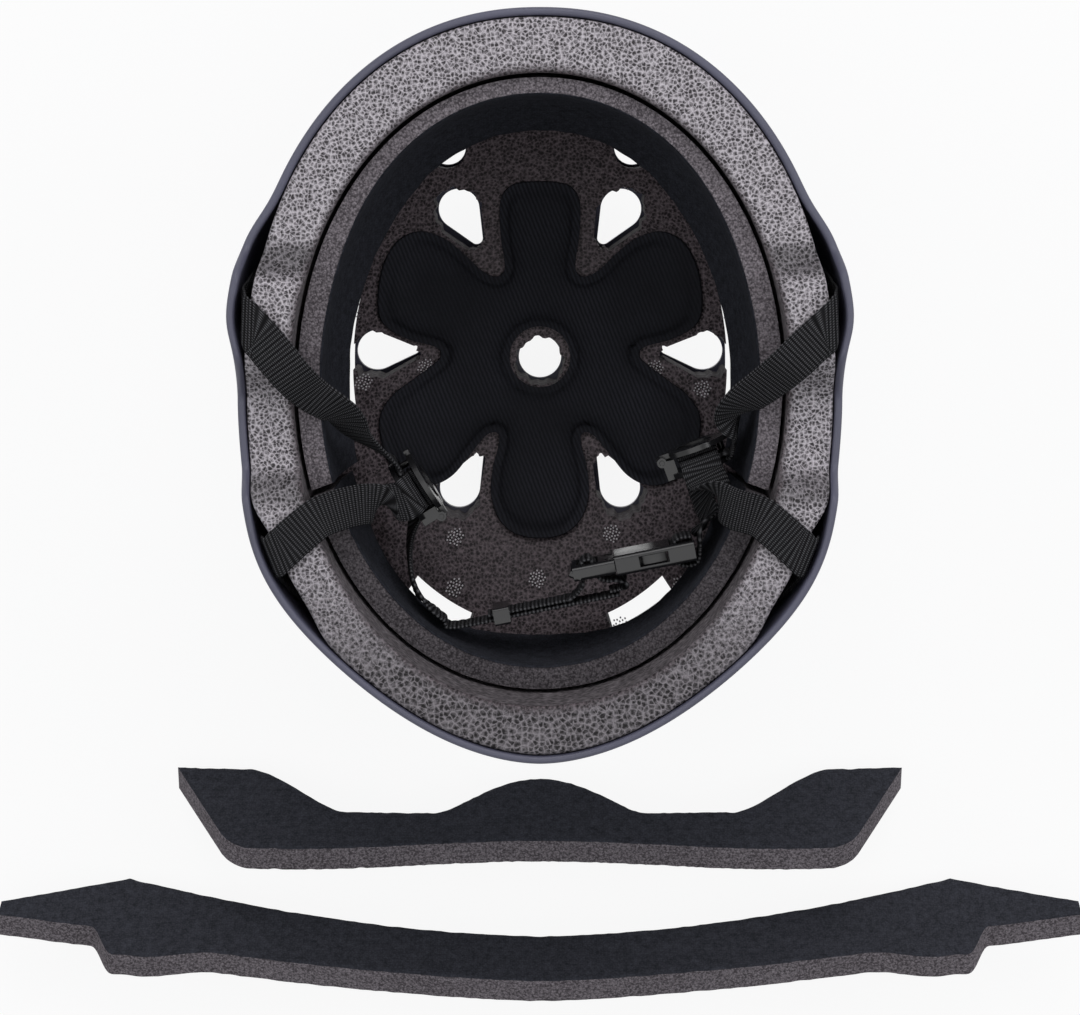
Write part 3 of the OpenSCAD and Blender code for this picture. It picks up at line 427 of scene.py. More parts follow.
slate_plastic = moulded_material("slate_plastic", (0.077, 0.077, 0.114), 0.46, grain=700.0, bump=0.16)
LIP = SHELL_T / 2
lip_turn = np.linspace(0, np.pi, 9)[1:-1]
outer_z = wall_heights(angles, 0, 44, 14, LIP)
inner_z = wall_heights(angles, SHELL_T, 44, 14, LIP)
lip_z = rim_z(angles)[:, None] - LIP + LIP * np.sin(lip_turn)
lip = shell_point(angles[:, None], lip_z, 0)
lip_in = shell_point(angles[:, None], lip_z, SHELL_T)
share = (1 - np.cos(lip_turn))[None, :, None] / 2
shell_points = np.concatenate([shell_point(angles[:, None], outer_z, 0), lip * (1 - share) + lip_in * share,
                               shell_point(angles[:, None], inner_z, SHELL_T)[:, ::-1]], axis=1)
n, m = shell_points.shape[:2]
outer_shell = make_piece("outer_shell", shell_points.reshape(-1, 3), grid_faces(n, m, True, True),
                         slate_plastic, slot="shell")
pierce(outer_shell, vent_outlines(0), CUT_H)
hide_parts("shell")


# Liner. Expanded bead foam, moulded in one piece. Where it was pressed against the tool the
# beads show as round cells with dark pits between them, and steam marks dot the bowl.
LINER_OUT, CAVITY_SQUARE, CAVITY_Z = 3.4, 2.05, 30.4
CAVITY_HALF_W, CAVITY_HALF_L, CAVITY_Y = 90.1, 113.6, -2.0
RIM_ROUND = 1.8


def cavity_point(t, z, rise):
    """A point of the head cavity raised by rise: a superelliptic plan scaled by the dome's share."""
    share = dome_share(z, CAVITY_Z + rise)
    x = share * signed_power(np.cos(t), 2 / CAVITY_SQUARE) * (CAVITY_HALF_W - rise)
    y = share * (CAVITY_Y + signed_power(np.sin(t), 2 / CAVITY_SQUARE) * (CAVITY_HALF_L - rise))
    return np.stack([x, y, z + 0 * x], axis=-1)


def floor_z(x, y, rise):
    """Height of the cavity's floor, raised by rise, over a place in plan."""
    s = ((np.abs(x) / (CAVITY_HALF_W - rise)) ** CAVITY_SQUARE
         + (np.abs(y) / (CAVITY_HALF_L - rise)) ** CAVITY_SQUARE) ** (1 / CAVITY_SQUARE)
    z0 = CAVITY_Z + rise
    return z0 + (DOME_H - z0) * (1 - (1 - np.minimum(s, 1) ** DOME_SQUARE) ** (1 / DOME_SQUARE))


beads, given, out = new_effect("foam_beads", {
    "Vector": ("Vector", (0, 0, 0)), "Light": ("Color", (0.3, 0.3, 0.3, 1)),
    "Dark": ("Color", (0.1, 0.1, 0.1, 1)), "Scale": ("Float", 560.0), "Border": ("Float", 0.6)},
    {"Color": "Color", "Height": "Float"})
wobble = noise(beads, given.outputs["Vector"], 420.0, 2.0)
shifted = put(beads, "VectorMath", [(wobble.outputs["Color"], 0), (0.0013, "Scale")], operation="SCALE")
bent = put(beads, "VectorMath", [(given.outputs["Vector"], 0), (shifted.outputs[0], 1)], operation="ADD")
# The surface lies nearly level, so cells in plan show each bead whole, with its own tone
cell = put(beads, "TexVoronoi", [(bent.outputs[0], "Vector"), (given.outputs["Scale"], "Scale"),
                                 (0.95, "Randomness")], voronoi_dimensions="2D")
border = put(beads, "TexVoronoi", [(bent.outputs[0], "Vector"), (given.outputs["Scale"], "Scale"),
                                   (0.95, "Randomness")], voronoi_dimensions="2D", feature="DISTANCE_TO_EDGE")
# Each bead's middle has sunk in and looks dark, and its border stands up and catches light
middle = stretch(beads, cell.outputs["Distance"], 0.14, 0.6, -0.12, 0.36)
edge = stretch(beads, border.outputs["Distance"], 0.01, 0.13, 1.0, 0.0)
edge_lit = calc(beads, "MULTIPLY_ADD", edge, given.outputs["Border"], middle)
own = put(beads, "SeparateColor", [(cell.outputs["Color"], "Color")])
varied = calc(beads, "MULTIPLY_ADD", own.outputs[0], 0.34, edge_lit)
speck = noise(beads, given.outputs["Vector"], 1000.0, 4.0)
flake = stretch(beads, speck.outputs["Fac"], 0.36, 0.66, -0.26, 0.34)
tone = calc(beads, "ADD", varied, flake)
surface = blend(beads, tone, given.outputs["Dark"], given.outputs["Light"])
beads.links.new(surface, out.inputs["Color"])
beads.links.new(edge_lit, out.inputs["Height"])

bead_foam, tree, shader = new_material("bead_foam", (0.1, 0.1, 0.1), 0.55, Specular_IOR_Level=0.2)
place = put(tree, "TexCoord")
above = put(tree, "SeparateXYZ", [(place.outputs["Object"], 0)])
# Outside the cavity's ellipse lies the rim; the bowl inside has its own finer bead pattern, and its far
# darker colours are painted shade inside the bowl.
# Towards the nape the rim's beads are larger, and darker by painted shade, as the light falls along the rim
# there.
moved = put(tree, "VectorMath", [(place.outputs["Object"], 0)], operation="ADD")
moved.inputs[1].default_value = (0, -CAVITY_Y * MM, 0)
scaled = put(tree, "VectorMath", [(moved.outputs[0], 0)], operation="MULTIPLY")
scaled.inputs[1].default_value = (1 / (CAVITY_HALF_W * MM), 1 / (CAVITY_HALF_L * MM), 0)
reach = put(tree, "VectorMath", [(scaled.outputs[0], 0)], operation="LENGTH")
rim_mask = stretch(tree, reach.outputs["Value"], 1.0, 1.035)
rim_beads = use_effect(tree, beads, Light=(0.60, 0.56, 0.595, 1), Dark=(0.035, 0.031, 0.034, 1),
                       Scale=640.0, Border=0.5)
# The nape's darker colours are painted shade; its larger cells are the bead pattern
nape_beads_painted_shade = use_effect(tree, beads, Light=(0.25, 0.23, 0.245, 1), Dark=(0.006, 0.005, 0.0058, 1),
                        Scale=480.0, Border=0.5)
# The bowl's far darker colours are painted shade inside the bowl
bowl_beads_painted_shade = use_effect(tree, beads, Light=(0.14, 0.114, 0.124, 1), Dark=(0.009, 0.0068, 0.0078, 1),
                        Scale=680.0, Border=0.26)
nape_shade_mask = stretch(tree, above.outputs["Y"], -0.055, -0.105)
rim_color = blend(tree, nape_shade_mask, rim_beads.outputs["Color"], nape_beads_painted_shade.outputs["Color"])
# The rim steps down before and behind the temples; a ramp along y multiplies the rim's colour by painted
# shade over those slopes
slopes = stretch(tree, above.outputs["Y"], -0.05, 0.06)
slope_shade_ramp = put(tree, "ValToRGB", [(slopes, "Fac")])
for y, tone in [(-46, 1), (-41, 0.48), (-35, 0.48), (-30, 1), (-9, 1), (2, 0.75), (12, 1), (37, 1),
                (41, 0.42), (48, 0.42), (52, 1)]:
    slope_shade_ramp.color_ramp.elements.new((y + 50) / 110).color = (tone, tone, tone, 1)
for end in (slope_shade_ramp.color_ramp.elements[0], slope_shade_ramp.color_ramp.elements[-1]):
    end.color = (1, 1, 1, 1)
rim_with_slope_shade = put(tree, "Mix", [(1.0, 0), (rim_color, 6), (slope_shade_ramp.outputs["Color"], 7)], data_type="RGBA",
             blend_type="MULTIPLY")
both = blend(tree, rim_mask, bowl_beads_painted_shade.outputs["Color"], rim_with_slope_shade.outputs[2])
relief_mix = put(tree, "Mix", [(rim_mask, "Factor"), (bowl_beads_painted_shade.outputs["Height"], 2),
                               (rim_beads.outputs["Height"], 3)])
for node in (rim_beads, nape_beads_painted_shade, bowl_beads_painted_shade):
    tree.links.new(place.outputs["Object"], node.inputs["Vector"])
dress(tree, shader, both, relief_mix.outputs[0], 0.4, 0.0005)

# Outer wall, rounded outer edge, flat rim, rounded inner edge, then the cavity down to its pole
outer_z = wall_heights(angles, LINER_OUT, 30, 10, RIM_ROUND)
liner_outer = shell_point(angles[:, None], outer_z, LINER_OUT, 0, 1)
top_z = rim_z(angles)
outer_top = shell_point(angles, top_z, LINER_OUT, 0, 1)
inner_top = cavity_point(angles, top_z, 0)
span = np.linalg.norm(inner_top - outer_top, axis=-1)[:, None]
across = np.concatenate([RIM_ROUND * (1 - np.cos(np.linspace(0.3, np.pi / 2, 5))) + 0 * span,
                         RIM_ROUND + (span - 2 * RIM_ROUND) * np.linspace(0, 1, 9)[1:-1],
                         span - RIM_ROUND * (1 - np.cos(np.linspace(np.pi / 2, 0.3, 5)))], axis=1)
sunk = np.concatenate([RIM_ROUND * (1 - np.sin(np.linspace(0.3, np.pi / 2, 5))), np.zeros(7),
                       RIM_ROUND * (1 - np.sin(np.linspace(np.pi / 2, 0.3, 5)))])
share = (across / span)[..., None]
rim_row = outer_top[:, None] * (1 - share) + inner_top[:, None] * share
rim_row[..., 2] -= sunk
liner_inner = cavity_point(angles[:, None], wall_heights(angles, CAVITY_Z, 44, 12, RIM_ROUND), 0)[:, ::-1]
liner_points = np.concatenate([liner_outer, rim_row, liner_inner], axis=1)
n, m = liner_points.shape[:2]
foam_liner = make_piece("foam_liner", liner_points.reshape(-1, 3), grid_faces(n, m, True, True),
                        bead_foam, slot="liner")


def ragged(outline, seed, depth):
    """A vent's outline pushed in and out along its own normal by three seeded waves, as the
    beads leave the edge of a moulded hole uneven."""
    ahead = np.roll(outline, -1, axis=0) - np.roll(outline, 1, axis=0)
    normal = np.stack([ahead[:, 1], -ahead[:, 0]], 1) / np.linalg.norm(ahead, axis=1, keepdims=True)
    turn = np.linspace(0, 2 * np.pi, len(outline), endpoint=False)
    start = np.random.default_rng(seed).uniform(0, 2 * np.pi, 3)
    wave = sum(np.sin(turn * f + p) for f, p in zip((3, 7, 12), start))
    return outline + normal * (depth * wave)[:, None]


liner_vents = vent_outlines(1.1)
pierce(foam_liner, [ragged(o, i, 0.45 if i < 7 else 0) for i, o in enumerate(liner_vents)], CUT_H)
# Upright faces, in the vents and down the inside of the rim, get their own darker foam colour with a clumped
# grain
wall_foam, tree, shader = new_material("wall_foam", (0.02, 0.018, 0.019), 0.7, Specular_IOR_Level=0.15)
place = put(tree, "TexCoord")
clump = put(tree, "TexVoronoi", [(place.outputs["Object"], "Vector"), (460.0, "Scale")])
grit = noise(tree, place.outputs["Object"], 900.0, 4.0)
clump_tone = calc(tree, "MULTIPLY", clump.outputs["Distance"], grit.outputs["Fac"])
wall_mix = blend(tree, clump_tone, (0.015, 0.013, 0.014, 1), (0.42, 0.38, 0.4, 1))
dress(tree, shader, wall_mix, clump_tone, 0.5, 0.0005)
foam_liner.data.materials.append(wall_foam)
upright = [int(abs(face.normal.z) < 0.3) for face in foam_liner.data.polygons]
foam_liner.data.polygons.foreach_set("material_index", upright)
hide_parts("liner")

# Steam marks: round clusters of pips that the mould's core vents leave on the foam
STEAM_MARKS = [(2, 85), (-20, 76), (33, 71), (12, 69), (-46, 67), (57, 49), (-59, 46), (-70, 22), (74, 20),
               (-68, -6), (63, -9), (-33, -67), (28, -66), (-1, -83), (-33, -85), (54, -82), (31, -98),
               (-44.5, -1.5), (45, -2)]
PIP_R, PIP_H, PIPS, MARK_R = 0.38, 0.3, 26, 3.3
turn = np.pi * (3 - 5 ** 0.5) * np.arange(PIPS)
spread = MARK_R * np.sqrt((np.arange(PIPS) + 0.5) / PIPS)
pip_x = (np.array(STEAM_MARKS)[:, 0, None] + spread * np.cos(turn)).ravel()
pip_y = (np.array(STEAM_MARKS)[:, 1, None] + spread * np.sin(turn)).ravel()
pip_z = floor_z(pip_x, pip_y, 0)
hex_a = np.linspace(0, 2 * np.pi, 6, endpoint=False)
ring = np.stack([PIP_R * np.cos(hex_a), PIP_R * np.sin(hex_a), 0 * hex_a], 1)
centre = np.stack([pip_x, pip_y, pip_z], 1)
slope = np.stack([floor_z(pip_x + 0.5, pip_y, 0) - floor_z(pip_x - 0.5, pip_y, 0),
                  floor_z(pip_x, pip_y + 0.5, 0) - floor_z(pip_x, pip_y - 0.5, 0)], 1)
base = centre[:, None] + ring
base[..., 2] += np.einsum("pk,rk->pr", slope, ring[:, :2]) - 0.12
crown = centre[:, None] + (base + [0, 0, PIP_H] - centre[:, None]) * [0.7, 0.7, 1]
peak = centre + [0, 0, PIP_H + 0.08]
pips = np.concatenate([base, crown, peak[:, None]], axis=1)
one = [[i, (i + 1) % 6, 6 + (i + 1) % 6, 6 + i] for i in range(6)]
cap = [[6 + i, 6 + (i + 1) % 6, 12] for i in range(6)]
under = [[5, 4, 3, 2, 1, 0]]
faces = [[k * 13 + v for v in f] for k in range(len(pip_x)) for f in one + cap + under]
pip_foam, tree, shader = new_material("pip_foam", (0.34, 0.31, 0.33), 0.4)
place = put(tree, "TexCoord")
mottle = noise(tree, place.outputs["Object"], 900.0)
pip_tone = blend(tree, mottle.outputs["Fac"], (0.3, 0.28, 0.3, 1), (0.8, 0.78, 0.8, 1))
tree.links.new(pip_tone, shader.inputs["Base Color"])
make_piece("steam_marks", pips.reshape(-1, 3), faces, pip_foam, slot="liner")


# Perimeter pads. Strips of grey open-cell foam about 8 mm thick with black knitted cloth
# bonded to the side that faces the head, cut out by a die and stuck on with hook tabs.
PAD_TOP, PAD_BACK, PAD_FOAM, PAD_CLOTH = 126, 1.6, 8, 0.8
FRONT_DEPTH, REAR_DEPTH, REAR_WAVE, JOINT_A, JOINT_GAP = 52, 38, 9, 20, 1.2

foam_cells, given, out = new_effect("open_cells", {
    "Vector": ("Vector", (0, 0, 0)), "Light": ("Color", (0.2, 0.2, 0.2, 1)),
    "Dark": ("Color", (0.04, 0.04, 0.04, 1)), "Scale": ("Float", 1400.0)},
    {"Color": "Color", "Height": "Float"})
pore = put(foam_cells, "TexVoronoi", [(given.outputs["Vector"], "Vector"), (given.outputs["Scale"], "Scale")])
fluff = noise(foam_cells, given.outputs["Vector"], 900.0, 4.0)
wear = noise(foam_cells, given.outputs["Vector"], 40.0, 4.0)
pore_tone = stretch(foam_cells, pore.outputs["Distance"], 0.1, 0.75, 0.75, 0.1)
fluff_tone = stretch(foam_cells, fluff.outputs["Fac"], 0.35, 0.7, -0.3, 0.4)
wear_tone = stretch(foam_cells, wear.outputs["Fac"], 0.35, 0.65, -0.06, 0.06)
sum_a = calc(foam_cells, "ADD", pore_tone, fluff_tone)
sum_b = calc(foam_cells, "ADD", sum_a, wear_tone)
foam_tone = blend(foam_cells, sum_b, given.outputs["Dark"], given.outputs["Light"])
foam_cells.links.new(foam_tone, out.inputs["Color"])
foam_cells.links.new(sum_a, out.inputs["Height"])


def foam_material(name, light, dark):
    """Open-cell foam: pores, a looser fluff and a slow wear, mixed between two tones."""
    material, tree, shader = new_material(name, dark, 0.95, Specular_IOR_Level=0.2)
    place = put(tree, "TexCoord")
    cells = use_effect(tree, foam_cells, Light=(*light, 1), Dark=(*dark, 1), Scale=1300.0)
    tree.links.new(place.outputs["Object"], cells.inputs["Vector"])
    dress(tree, shader, cells.outputs["Color"], cells.outputs["Height"], 0.5, 0.0004)
    return material


knit, given, out = new_effect("brushed_knit", {
    "Vector": ("Vector", (0, 0, 0)), "Light": ("Color", (0.03, 0.03, 0.035, 1)),
    "Dark": ("Color", (0.006, 0.006, 0.008, 1)), "Scale": ("Float", 1100.0)},
    {"Color": "Color", "Height": "Float"})
loops = put(knit, "TexVoronoi", [(given.outputs["Vector"], "Vector"), (given.outputs["Scale"], "Scale"),
                                 (0.7, "Randomness")])
nap = put(knit, "TexNoise", [(given.outputs["Vector"], "Vector"), (330.0, "Scale"), (6.0, "Detail"),
                             (0.75, "Roughness")])
nap_tone = stretch(knit, nap.outputs["Fac"], 0.32, 0.7, 0.0, 0.75)
loop_tone = stretch(knit, loops.outputs["Distance"], 0.0, 0.7, 0.45, -0.1)
knit_sum = calc(knit, "ADD", nap_tone, loop_tone)
knit_mix = blend(knit, knit_sum, given.outputs["Dark"], given.outputs["Light"])
knit.links.new(knit_mix, out.inputs["Color"])
knit.links.new(loop_tone, out.inputs["Height"])


def knit_material(name, light, dark):
    """Brushed knitted cloth: small loops under an uneven nap."""
    material, tree, shader = new_material(name, dark, 0.95, Specular_IOR_Level=0.1)
    place = put(tree, "TexCoord")
    face = use_effect(tree, knit, Light=(*light, 1), Dark=(*dark, 1))
    tree.links.new(place.outputs["Object"], face.inputs["Vector"])
    dress(tree, shader, face.outputs["Color"], face.outputs["Height"], 0.4, 0.0003)
    return material


grey_foam = foam_material("grey_foam", (0.29, 0.26, 0.28), (0.064, 0.056, 0.062))
# The rear pad's foam is given darker colours than the front pad's: painted shade for the shadow under the
# nape
shade_painted_foam = foam_material("shade_painted_foam", (0.155, 0.14, 0.15), (0.034, 0.03, 0.033))
black_knit = knit_material("black_knit", (0.036, 0.038, 0.048), (0.011, 0.0116, 0.0146))


def slab_piece(name, front, back, material, **options):
    """A slab between two n by m grids with its four sides closed."""
    n, m = front.shape[:2]
    points = np.concatenate([front.reshape(-1, 3), back.reshape(-1, 3)])
    faces = [grid_faces(n, m, False, False), grid_faces(n, m, False, False, n * m)[:, ::-1]]
    i, j = np.arange(n - 1), np.arange(m - 1)
    low, high = i * m, i * m + m - 1
    near, far = j, (n - 1) * m + j
    faces.append(np.stack([low, low + n * m, low + m + n * m, low + m], 1))
    faces.append(np.stack([high, high + m, high + m + n * m, high + n * m], 1))
    faces.append(np.stack([near, near + 1, near + 1 + n * m, near + n * m], 1))
    faces.append(np.stack([far, far + n * m, far + 1 + n * m, far + 1], 1))
    return make_piece(name, points, np.concatenate(faces), material, **options)


def rounded_depth(count, edge):
    """Places across a strip from 0 to 1, and how far each is drawn back so that the
    strip's edges are round: a quarter ellipse of width edge at both ends."""
    k = np.linspace(0, 1, count)
    v = 0.5 - 0.5 * np.cos(np.pi * k)
    gap = np.minimum(v, 1 - v)
    return v, 1 - np.sqrt(np.clip(1 - (1 - np.clip(gap / edge, 0, 1)) ** 2, 0, 1))


def pad_strip(name, ends, depth_at, seed, foam_look):
    """A perimeter pad: the cavity wall raised by the foam's and then the cloth's thickness,
    between two angles, its depth a function of the place along it. The die leaves its edges
    a little wavy, and both long edges are slightly rounded."""
    count = 260
    k = np.linspace(0, 1, count)
    t = ends[0] + (ends[1] - ends[0]) * k
    waves = np.random.default_rng(seed).uniform(0, 2 * np.pi, 6)
    wave = sum(np.sin(k * f + p) for f, p in zip((31, 57, 83, 119, 171, 233), waves)) * 0.16
    depth = depth_at(k)
    v, drawn = rounded_depth(17, 0.045)
    z = PAD_TOP - 0.45 + wave[:, None] * (1 - v) - depth[:, None] * v + wave[:, None] * 0.5 * v
    # Worn a little thinner over the brow
    rise = PAD_BACK + PAD_FOAM - (2.4 * ramp(0.3, 0.95, np.sin(t)))[:, None]
    crease = np.exp(-((k - 0.335) / 0.006) ** 2) + np.exp(-((k - 0.655) / 0.006) ** 2)
    crease = (crease * (0.6 if name == "front_pad" else 0))[:, None]
    foam_face = cavity_point(t[:, None], z, rise)
    foam_back = cavity_point(t[:, None], z, PAD_BACK)
    foam = slab_piece(name, foam_face, foam_back, foam_look, slot="pad_foam", smooth=50)
    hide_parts(name + "_foam")
    lift = PAD_CLOTH * (1 - 0.8 * drawn) - crease
    cloth_z = z + 0.25 * (1 - 2 * v)
    cloth_face = cavity_point(t[:, None], cloth_z, rise + 0.02)
    cloth_front = cavity_point(t[:, None], cloth_z, rise + PAD_CLOTH)
    blend_in = ((lift / PAD_CLOTH)[..., None])
    cloth_front = cloth_face + (cloth_front - cloth_face) * np.clip(blend_in, 0.15, 1)
    cloth = slab_piece(name + "_cloth", cloth_front, cloth_face, black_knit, slot="pad_fabric", smooth=60)
    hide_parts(name + "_cover")


def front_depth(k):
    """The front pad's depth: full over the brow, a ninth less at the sides and towards its ends."""
    side = np.abs(2 * k - 1)
    return FRONT_DEPTH * (1 - 0.11 * ramp(0.35, 0.82, side) - 0.04 * ramp(0.82, 1, side))


def rear_depth(k):
    """The rear pad's depth: two shallow waves, deepest at the ends and the middle."""
    return REAR_DEPTH - REAR_WAVE * (0.5 - 0.5 * np.cos(4 * np.pi * k))


half_gap = JOINT_GAP / 2
pad_strip("front_pad", np.radians([-JOINT_A + half_gap, 180 + JOINT_A - half_gap]), front_depth, 3,
          grey_foam)
pad_strip("rear_pad", np.radians([180 + JOINT_A + half_gap, 360 - JOINT_A - half_gap]), rear_depth, 5,
          shade_painted_foam)


# Crown pad. Two layers of black twill with soft foam between them, welded flat along the
# outline and round the hole in the middle, so the petals puff up inside a thin rim.
CROWN_HOLE_R, WELD, CROWN_THICK, CROWN_LIFT = 12, 3.4, 5.8, 0.9
# Half of the outline, from the brow petal round the wearer's left side to the nape petal
HALF_OUTLINE = np.array([
    (0, 73.0), (6, 72.8), (11.6, 71.5), (15.4, 67.6), (16.6, 61), (16.0, 50), (14.6, 41), (15.2, 36.5),
    (18.6, 35.0), (24, 37.5), (32, 45), (40, 51), (49, 53.5), (57, 50.5), (62.5, 43), (65.4, 33), (65.8, 22),
    (62.5, 15.5), (54, 10.5), (43, 7.0), (41.0, 3.5), (43.5, 0.5), (52, -5.5), (60.5, -11.5), (65.4, -19.5),
    (64.6, -30), (60.5, -39.5), (53, -46), (44, -47.5), (36, -44), (28.5, -35.5), (22, -28.5), (17.6, -28.0),
    (17.2, -32.5), (19.6, -42), (20.2, -52), (17.6, -60.5), (12, -66.3), (5.5, -68.6), (0, -69)])
HALF_OUTLINE = HALF_OUTLINE * [0.95, 0.98] + [0, -0.8]
outline = np.concatenate([HALF_OUTLINE[:-1], (HALF_OUTLINE * [-1, 1])[:0:-1]])


def smooth_loop(points, times):
    """A closed Catmull-Rom curve through the points, each stretch cut into equal shares."""
    a, b, c, d = (np.roll(points, s, axis=0) for s in (1, 0, -1, -2))
    k = np.linspace(0, 1, times, endpoint=False)[None, :, None]
    a, b, c, d = (p[:, None] for p in (a, b, c, d))
    return (0.5 * (2 * b + (c - a) * k + (2 * a - 5 * b + 4 * c - d) * k ** 2
                   + (3 * b - a - 3 * c + d) * k ** 3)).reshape(-1, points.shape[1])


edge_line = smooth_loop(outline, 6)
edge_line[:, 1] += 0.2
hole_a = np.unwrap(np.arctan2(edge_line[:, 1] - 2, edge_line[:, 0]))
hole_line = np.stack([CROWN_HOLE_R * np.cos(hole_a), 2 + CROWN_HOLE_R * np.sin(hole_a)], 1)
steps = 46
k = np.linspace(0, 1, steps)[None, :, None]
flat = hole_line[:, None] * (1 - k) + edge_line[:, None] * k
apart = np.min(np.linalg.norm(flat[:, :, None] - edge_line[None, None], axis=-1), axis=-1)
apart = np.minimum(apart, np.linalg.norm(flat - [0, 2], axis=-1) - CROWN_HOLE_R)
puff = np.clip((apart - WELD) / 9, 0, 1)
thick = 0.9 + (CROWN_THICK - 0.9) * np.sqrt(np.clip(1 - (1 - puff) ** 2, 0, 1)) ** 0.8
thick += 0.35 * np.exp(-((apart - WELD - 0.4) / 0.7) ** 2) * (apart > 0.4)
low_z = floor_z(flat[..., 0], flat[..., 1], CROWN_LIFT)
# The pad's faces lean with the bowl, so thickness is added along the floor's own normal
x, y = flat[..., 0], flat[..., 1]
dx = (floor_z(x + 1, y, CROWN_LIFT) - floor_z(x - 1, y, CROWN_LIFT)) / 2
dy = (floor_z(x, y + 1, CROWN_LIFT) - floor_z(x, y - 1, CROWN_LIFT)) / 2
lean = np.stack([-dx, -dy, np.ones_like(dx)], -1)
lean /= np.linalg.norm(lean, axis=-1, keepdims=True)
low = np.concatenate([flat, low_z[..., None]], -1)
high = low + lean * thick[..., None]
n, m = low.shape[:2]
crown_points = np.concatenate([high, low[:, ::-1]], axis=1)

twill_cloth, tree, shader = new_material("twill_cloth", (0.01, 0.01, 0.013), 0.85, Specular_IOR_Level=0.15)
place = put(tree, "TexCoord")
turned = put(tree, "Mapping", [(place.outputs["Object"], "Vector")])
turned.inputs["Rotation"].default_value = (0, 0, -0.38)
wale = put(tree, "TexWave", [(turned.outputs[0], "Vector"), (210.0, "Scale"), (1.4, "Distortion"),
                             (2.0, "Detail"), (3.0, "Detail Scale")], wave_type="BANDS", bands_direction="X",
           wave_profile="SIN")
yarn = noise(tree, place.outputs["Object"], 1300.0, 3.0)
hazy = noise(tree, place.outputs["Object"], 22.0, 3.0)
wale_amount = stretch(tree, hazy.outputs["Fac"], 0.35, 0.65, 0.25, 0.8)
wale_tone = calc(tree, "MULTIPLY", wale.outputs["Fac"], wale_amount)
twill_mix = blend(tree, wale_tone, (0.0075, 0.0078, 0.0100, 1), (0.030, 0.031, 0.040, 1))
twill_height = calc(tree, "ADD", wale.outputs["Fac"], yarn.outputs["Fac"])
dress(tree, shader, twill_mix, twill_height, 0.5, 0.0003)

crown_pad = make_piece("crown_pad", crown_points.reshape(-1, 3), grid_faces(n, 2 * m, True, True),
                       twill_cloth, slot="pad_fabric", smooth=60)
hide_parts("crown_pad_foam", "crown_pad_cover")


# Webbing. Black polyester straps 15 mm wide and 1.5 mm thick, woven with ribs across, so
# each bend shows as a fan of ribs. The ends are riveted inside the shell.
WEB_W, WEB_T, SEAT, WALL_SEAT = 15, 1.5, 0.3, 1.35
RIB, RIB_DEPTH, FOLD = 3.0, 0.34, 1.3
BUCKLE, BUCKLE_TURN = (34.8, -67.8, 110), np.radians(11.3)


def wall_place(y, z):
    """The middle of a strap inside the right half of the shell's wall, at a given y and height."""
    share = (y / dome_share(z, 0) + WIDEST_BACK) / (SHELL_FRONT if y > -WIDEST_BACK else SHELL_REAR)
    t = np.arcsin(signed_power(share, (FRONT_SQUARE if y > -WIDEST_BACK else REAR_SQUARE) / 2))
    return shell_point(t, np.array(float(z)), SHELL_T + WALL_SEAT + WEB_T / 2)


def in_gap(y, z, forward, up):
    """A strap station in the gap inside the wall, its width part forward and part up the wall."""
    along, rise = wall_place(y + 1, z) - wall_place(y - 1, z), wall_place(y, z + 1) - wall_place(y, z - 1)
    return [*wall_place(y, z), *(forward * along / np.linalg.norm(along) + up * rise / np.linalg.norm(rise))]


def in_divider(place, turn, p, wide):
    """A station inside a divider, given across, up and through it."""
    c, s = np.cos(np.radians(turn)), np.sin(np.radians(turn))
    return [place[0] + p[0] * c + p[2] * s, place[1] + p[0] * s - p[2] * c, place[2] + p[1],
            wide[0] * c + wide[2] * s, wide[0] * s - wide[2] * c, wide[1]]


def through(divider, places, wide):
    """Stations at several places inside one divider, all with the same width vector."""
    return [in_divider(*divider, p, wide) for p in places]


def at_buckle(x, y, z=0):
    """A station beside the buckle, given along it, across it and up, with the webbing on edge."""
    c, s = np.cos(BUCKLE_TURN), np.sin(BUCKLE_TURN)
    return [BUCKLE[0] + x * c - y * s, BUCKLE[1] + x * s + y * c, BUCKLE[2] + z, 0, 0, 1]


def beside(places):
    """Stations at several places beside the buckle."""
    return [at_buckle(*p) for p in places]


def mirrored(stations):
    """The same stations on the wearer's other side."""
    return [[-x, y, z, -a, b, c] for x, y, z, a, b, c in stations]


web_weave, given, out = new_effect("ribbed_weave", {
    "Along": ("Float", 0.0), "Across": ("Float", 0.0), "Light": ("Color", (0.06, 0.06, 0.06, 1)),
    "Dark": ("Color", (0.006, 0.006, 0.006, 1))}, {"Color": "Color", "Height": "Float"})


def ripple(tree, value, pitch, offset=0.0):
    """A wave between 0 and 1 with a given pitch in millimetres."""
    scaled = calc(tree, "MULTIPLY_ADD", value, 2 * np.pi / pitch, offset)
    wave = calc(tree, "SINE", scaled)
    return calc(tree, "MULTIPLY_ADD", wave, 0.5, 0.5)


# Rows of yarn dots along the ribs: their light colour is a painted highlight on the black strap's yarn
# crowns, with a faint painted sheen along each rib; the dots also give the relief
yarn_row = ripple(web_weave, given.outputs["Along"], RIB / 2)
yarn_dot = ripple(web_weave, given.outputs["Across"], 0.72)
rib_wave = ripple(web_weave, given.outputs["Along"], RIB, -np.pi / 2)
dots = calc(web_weave, "MULTIPLY", yarn_row, yarn_dot)
yarn_glints = calc(web_weave, "POWER", dots, 1.6)
rib_glint_tone = calc(web_weave, "MULTIPLY_ADD", rib_wave, 0.05, yarn_glints)
web_glint_tone = blend(web_weave, rib_glint_tone, given.outputs["Dark"], given.outputs["Light"])
web_weave.links.new(web_glint_tone, out.inputs["Color"])
web_weave.links.new(dots, out.inputs["Height"])

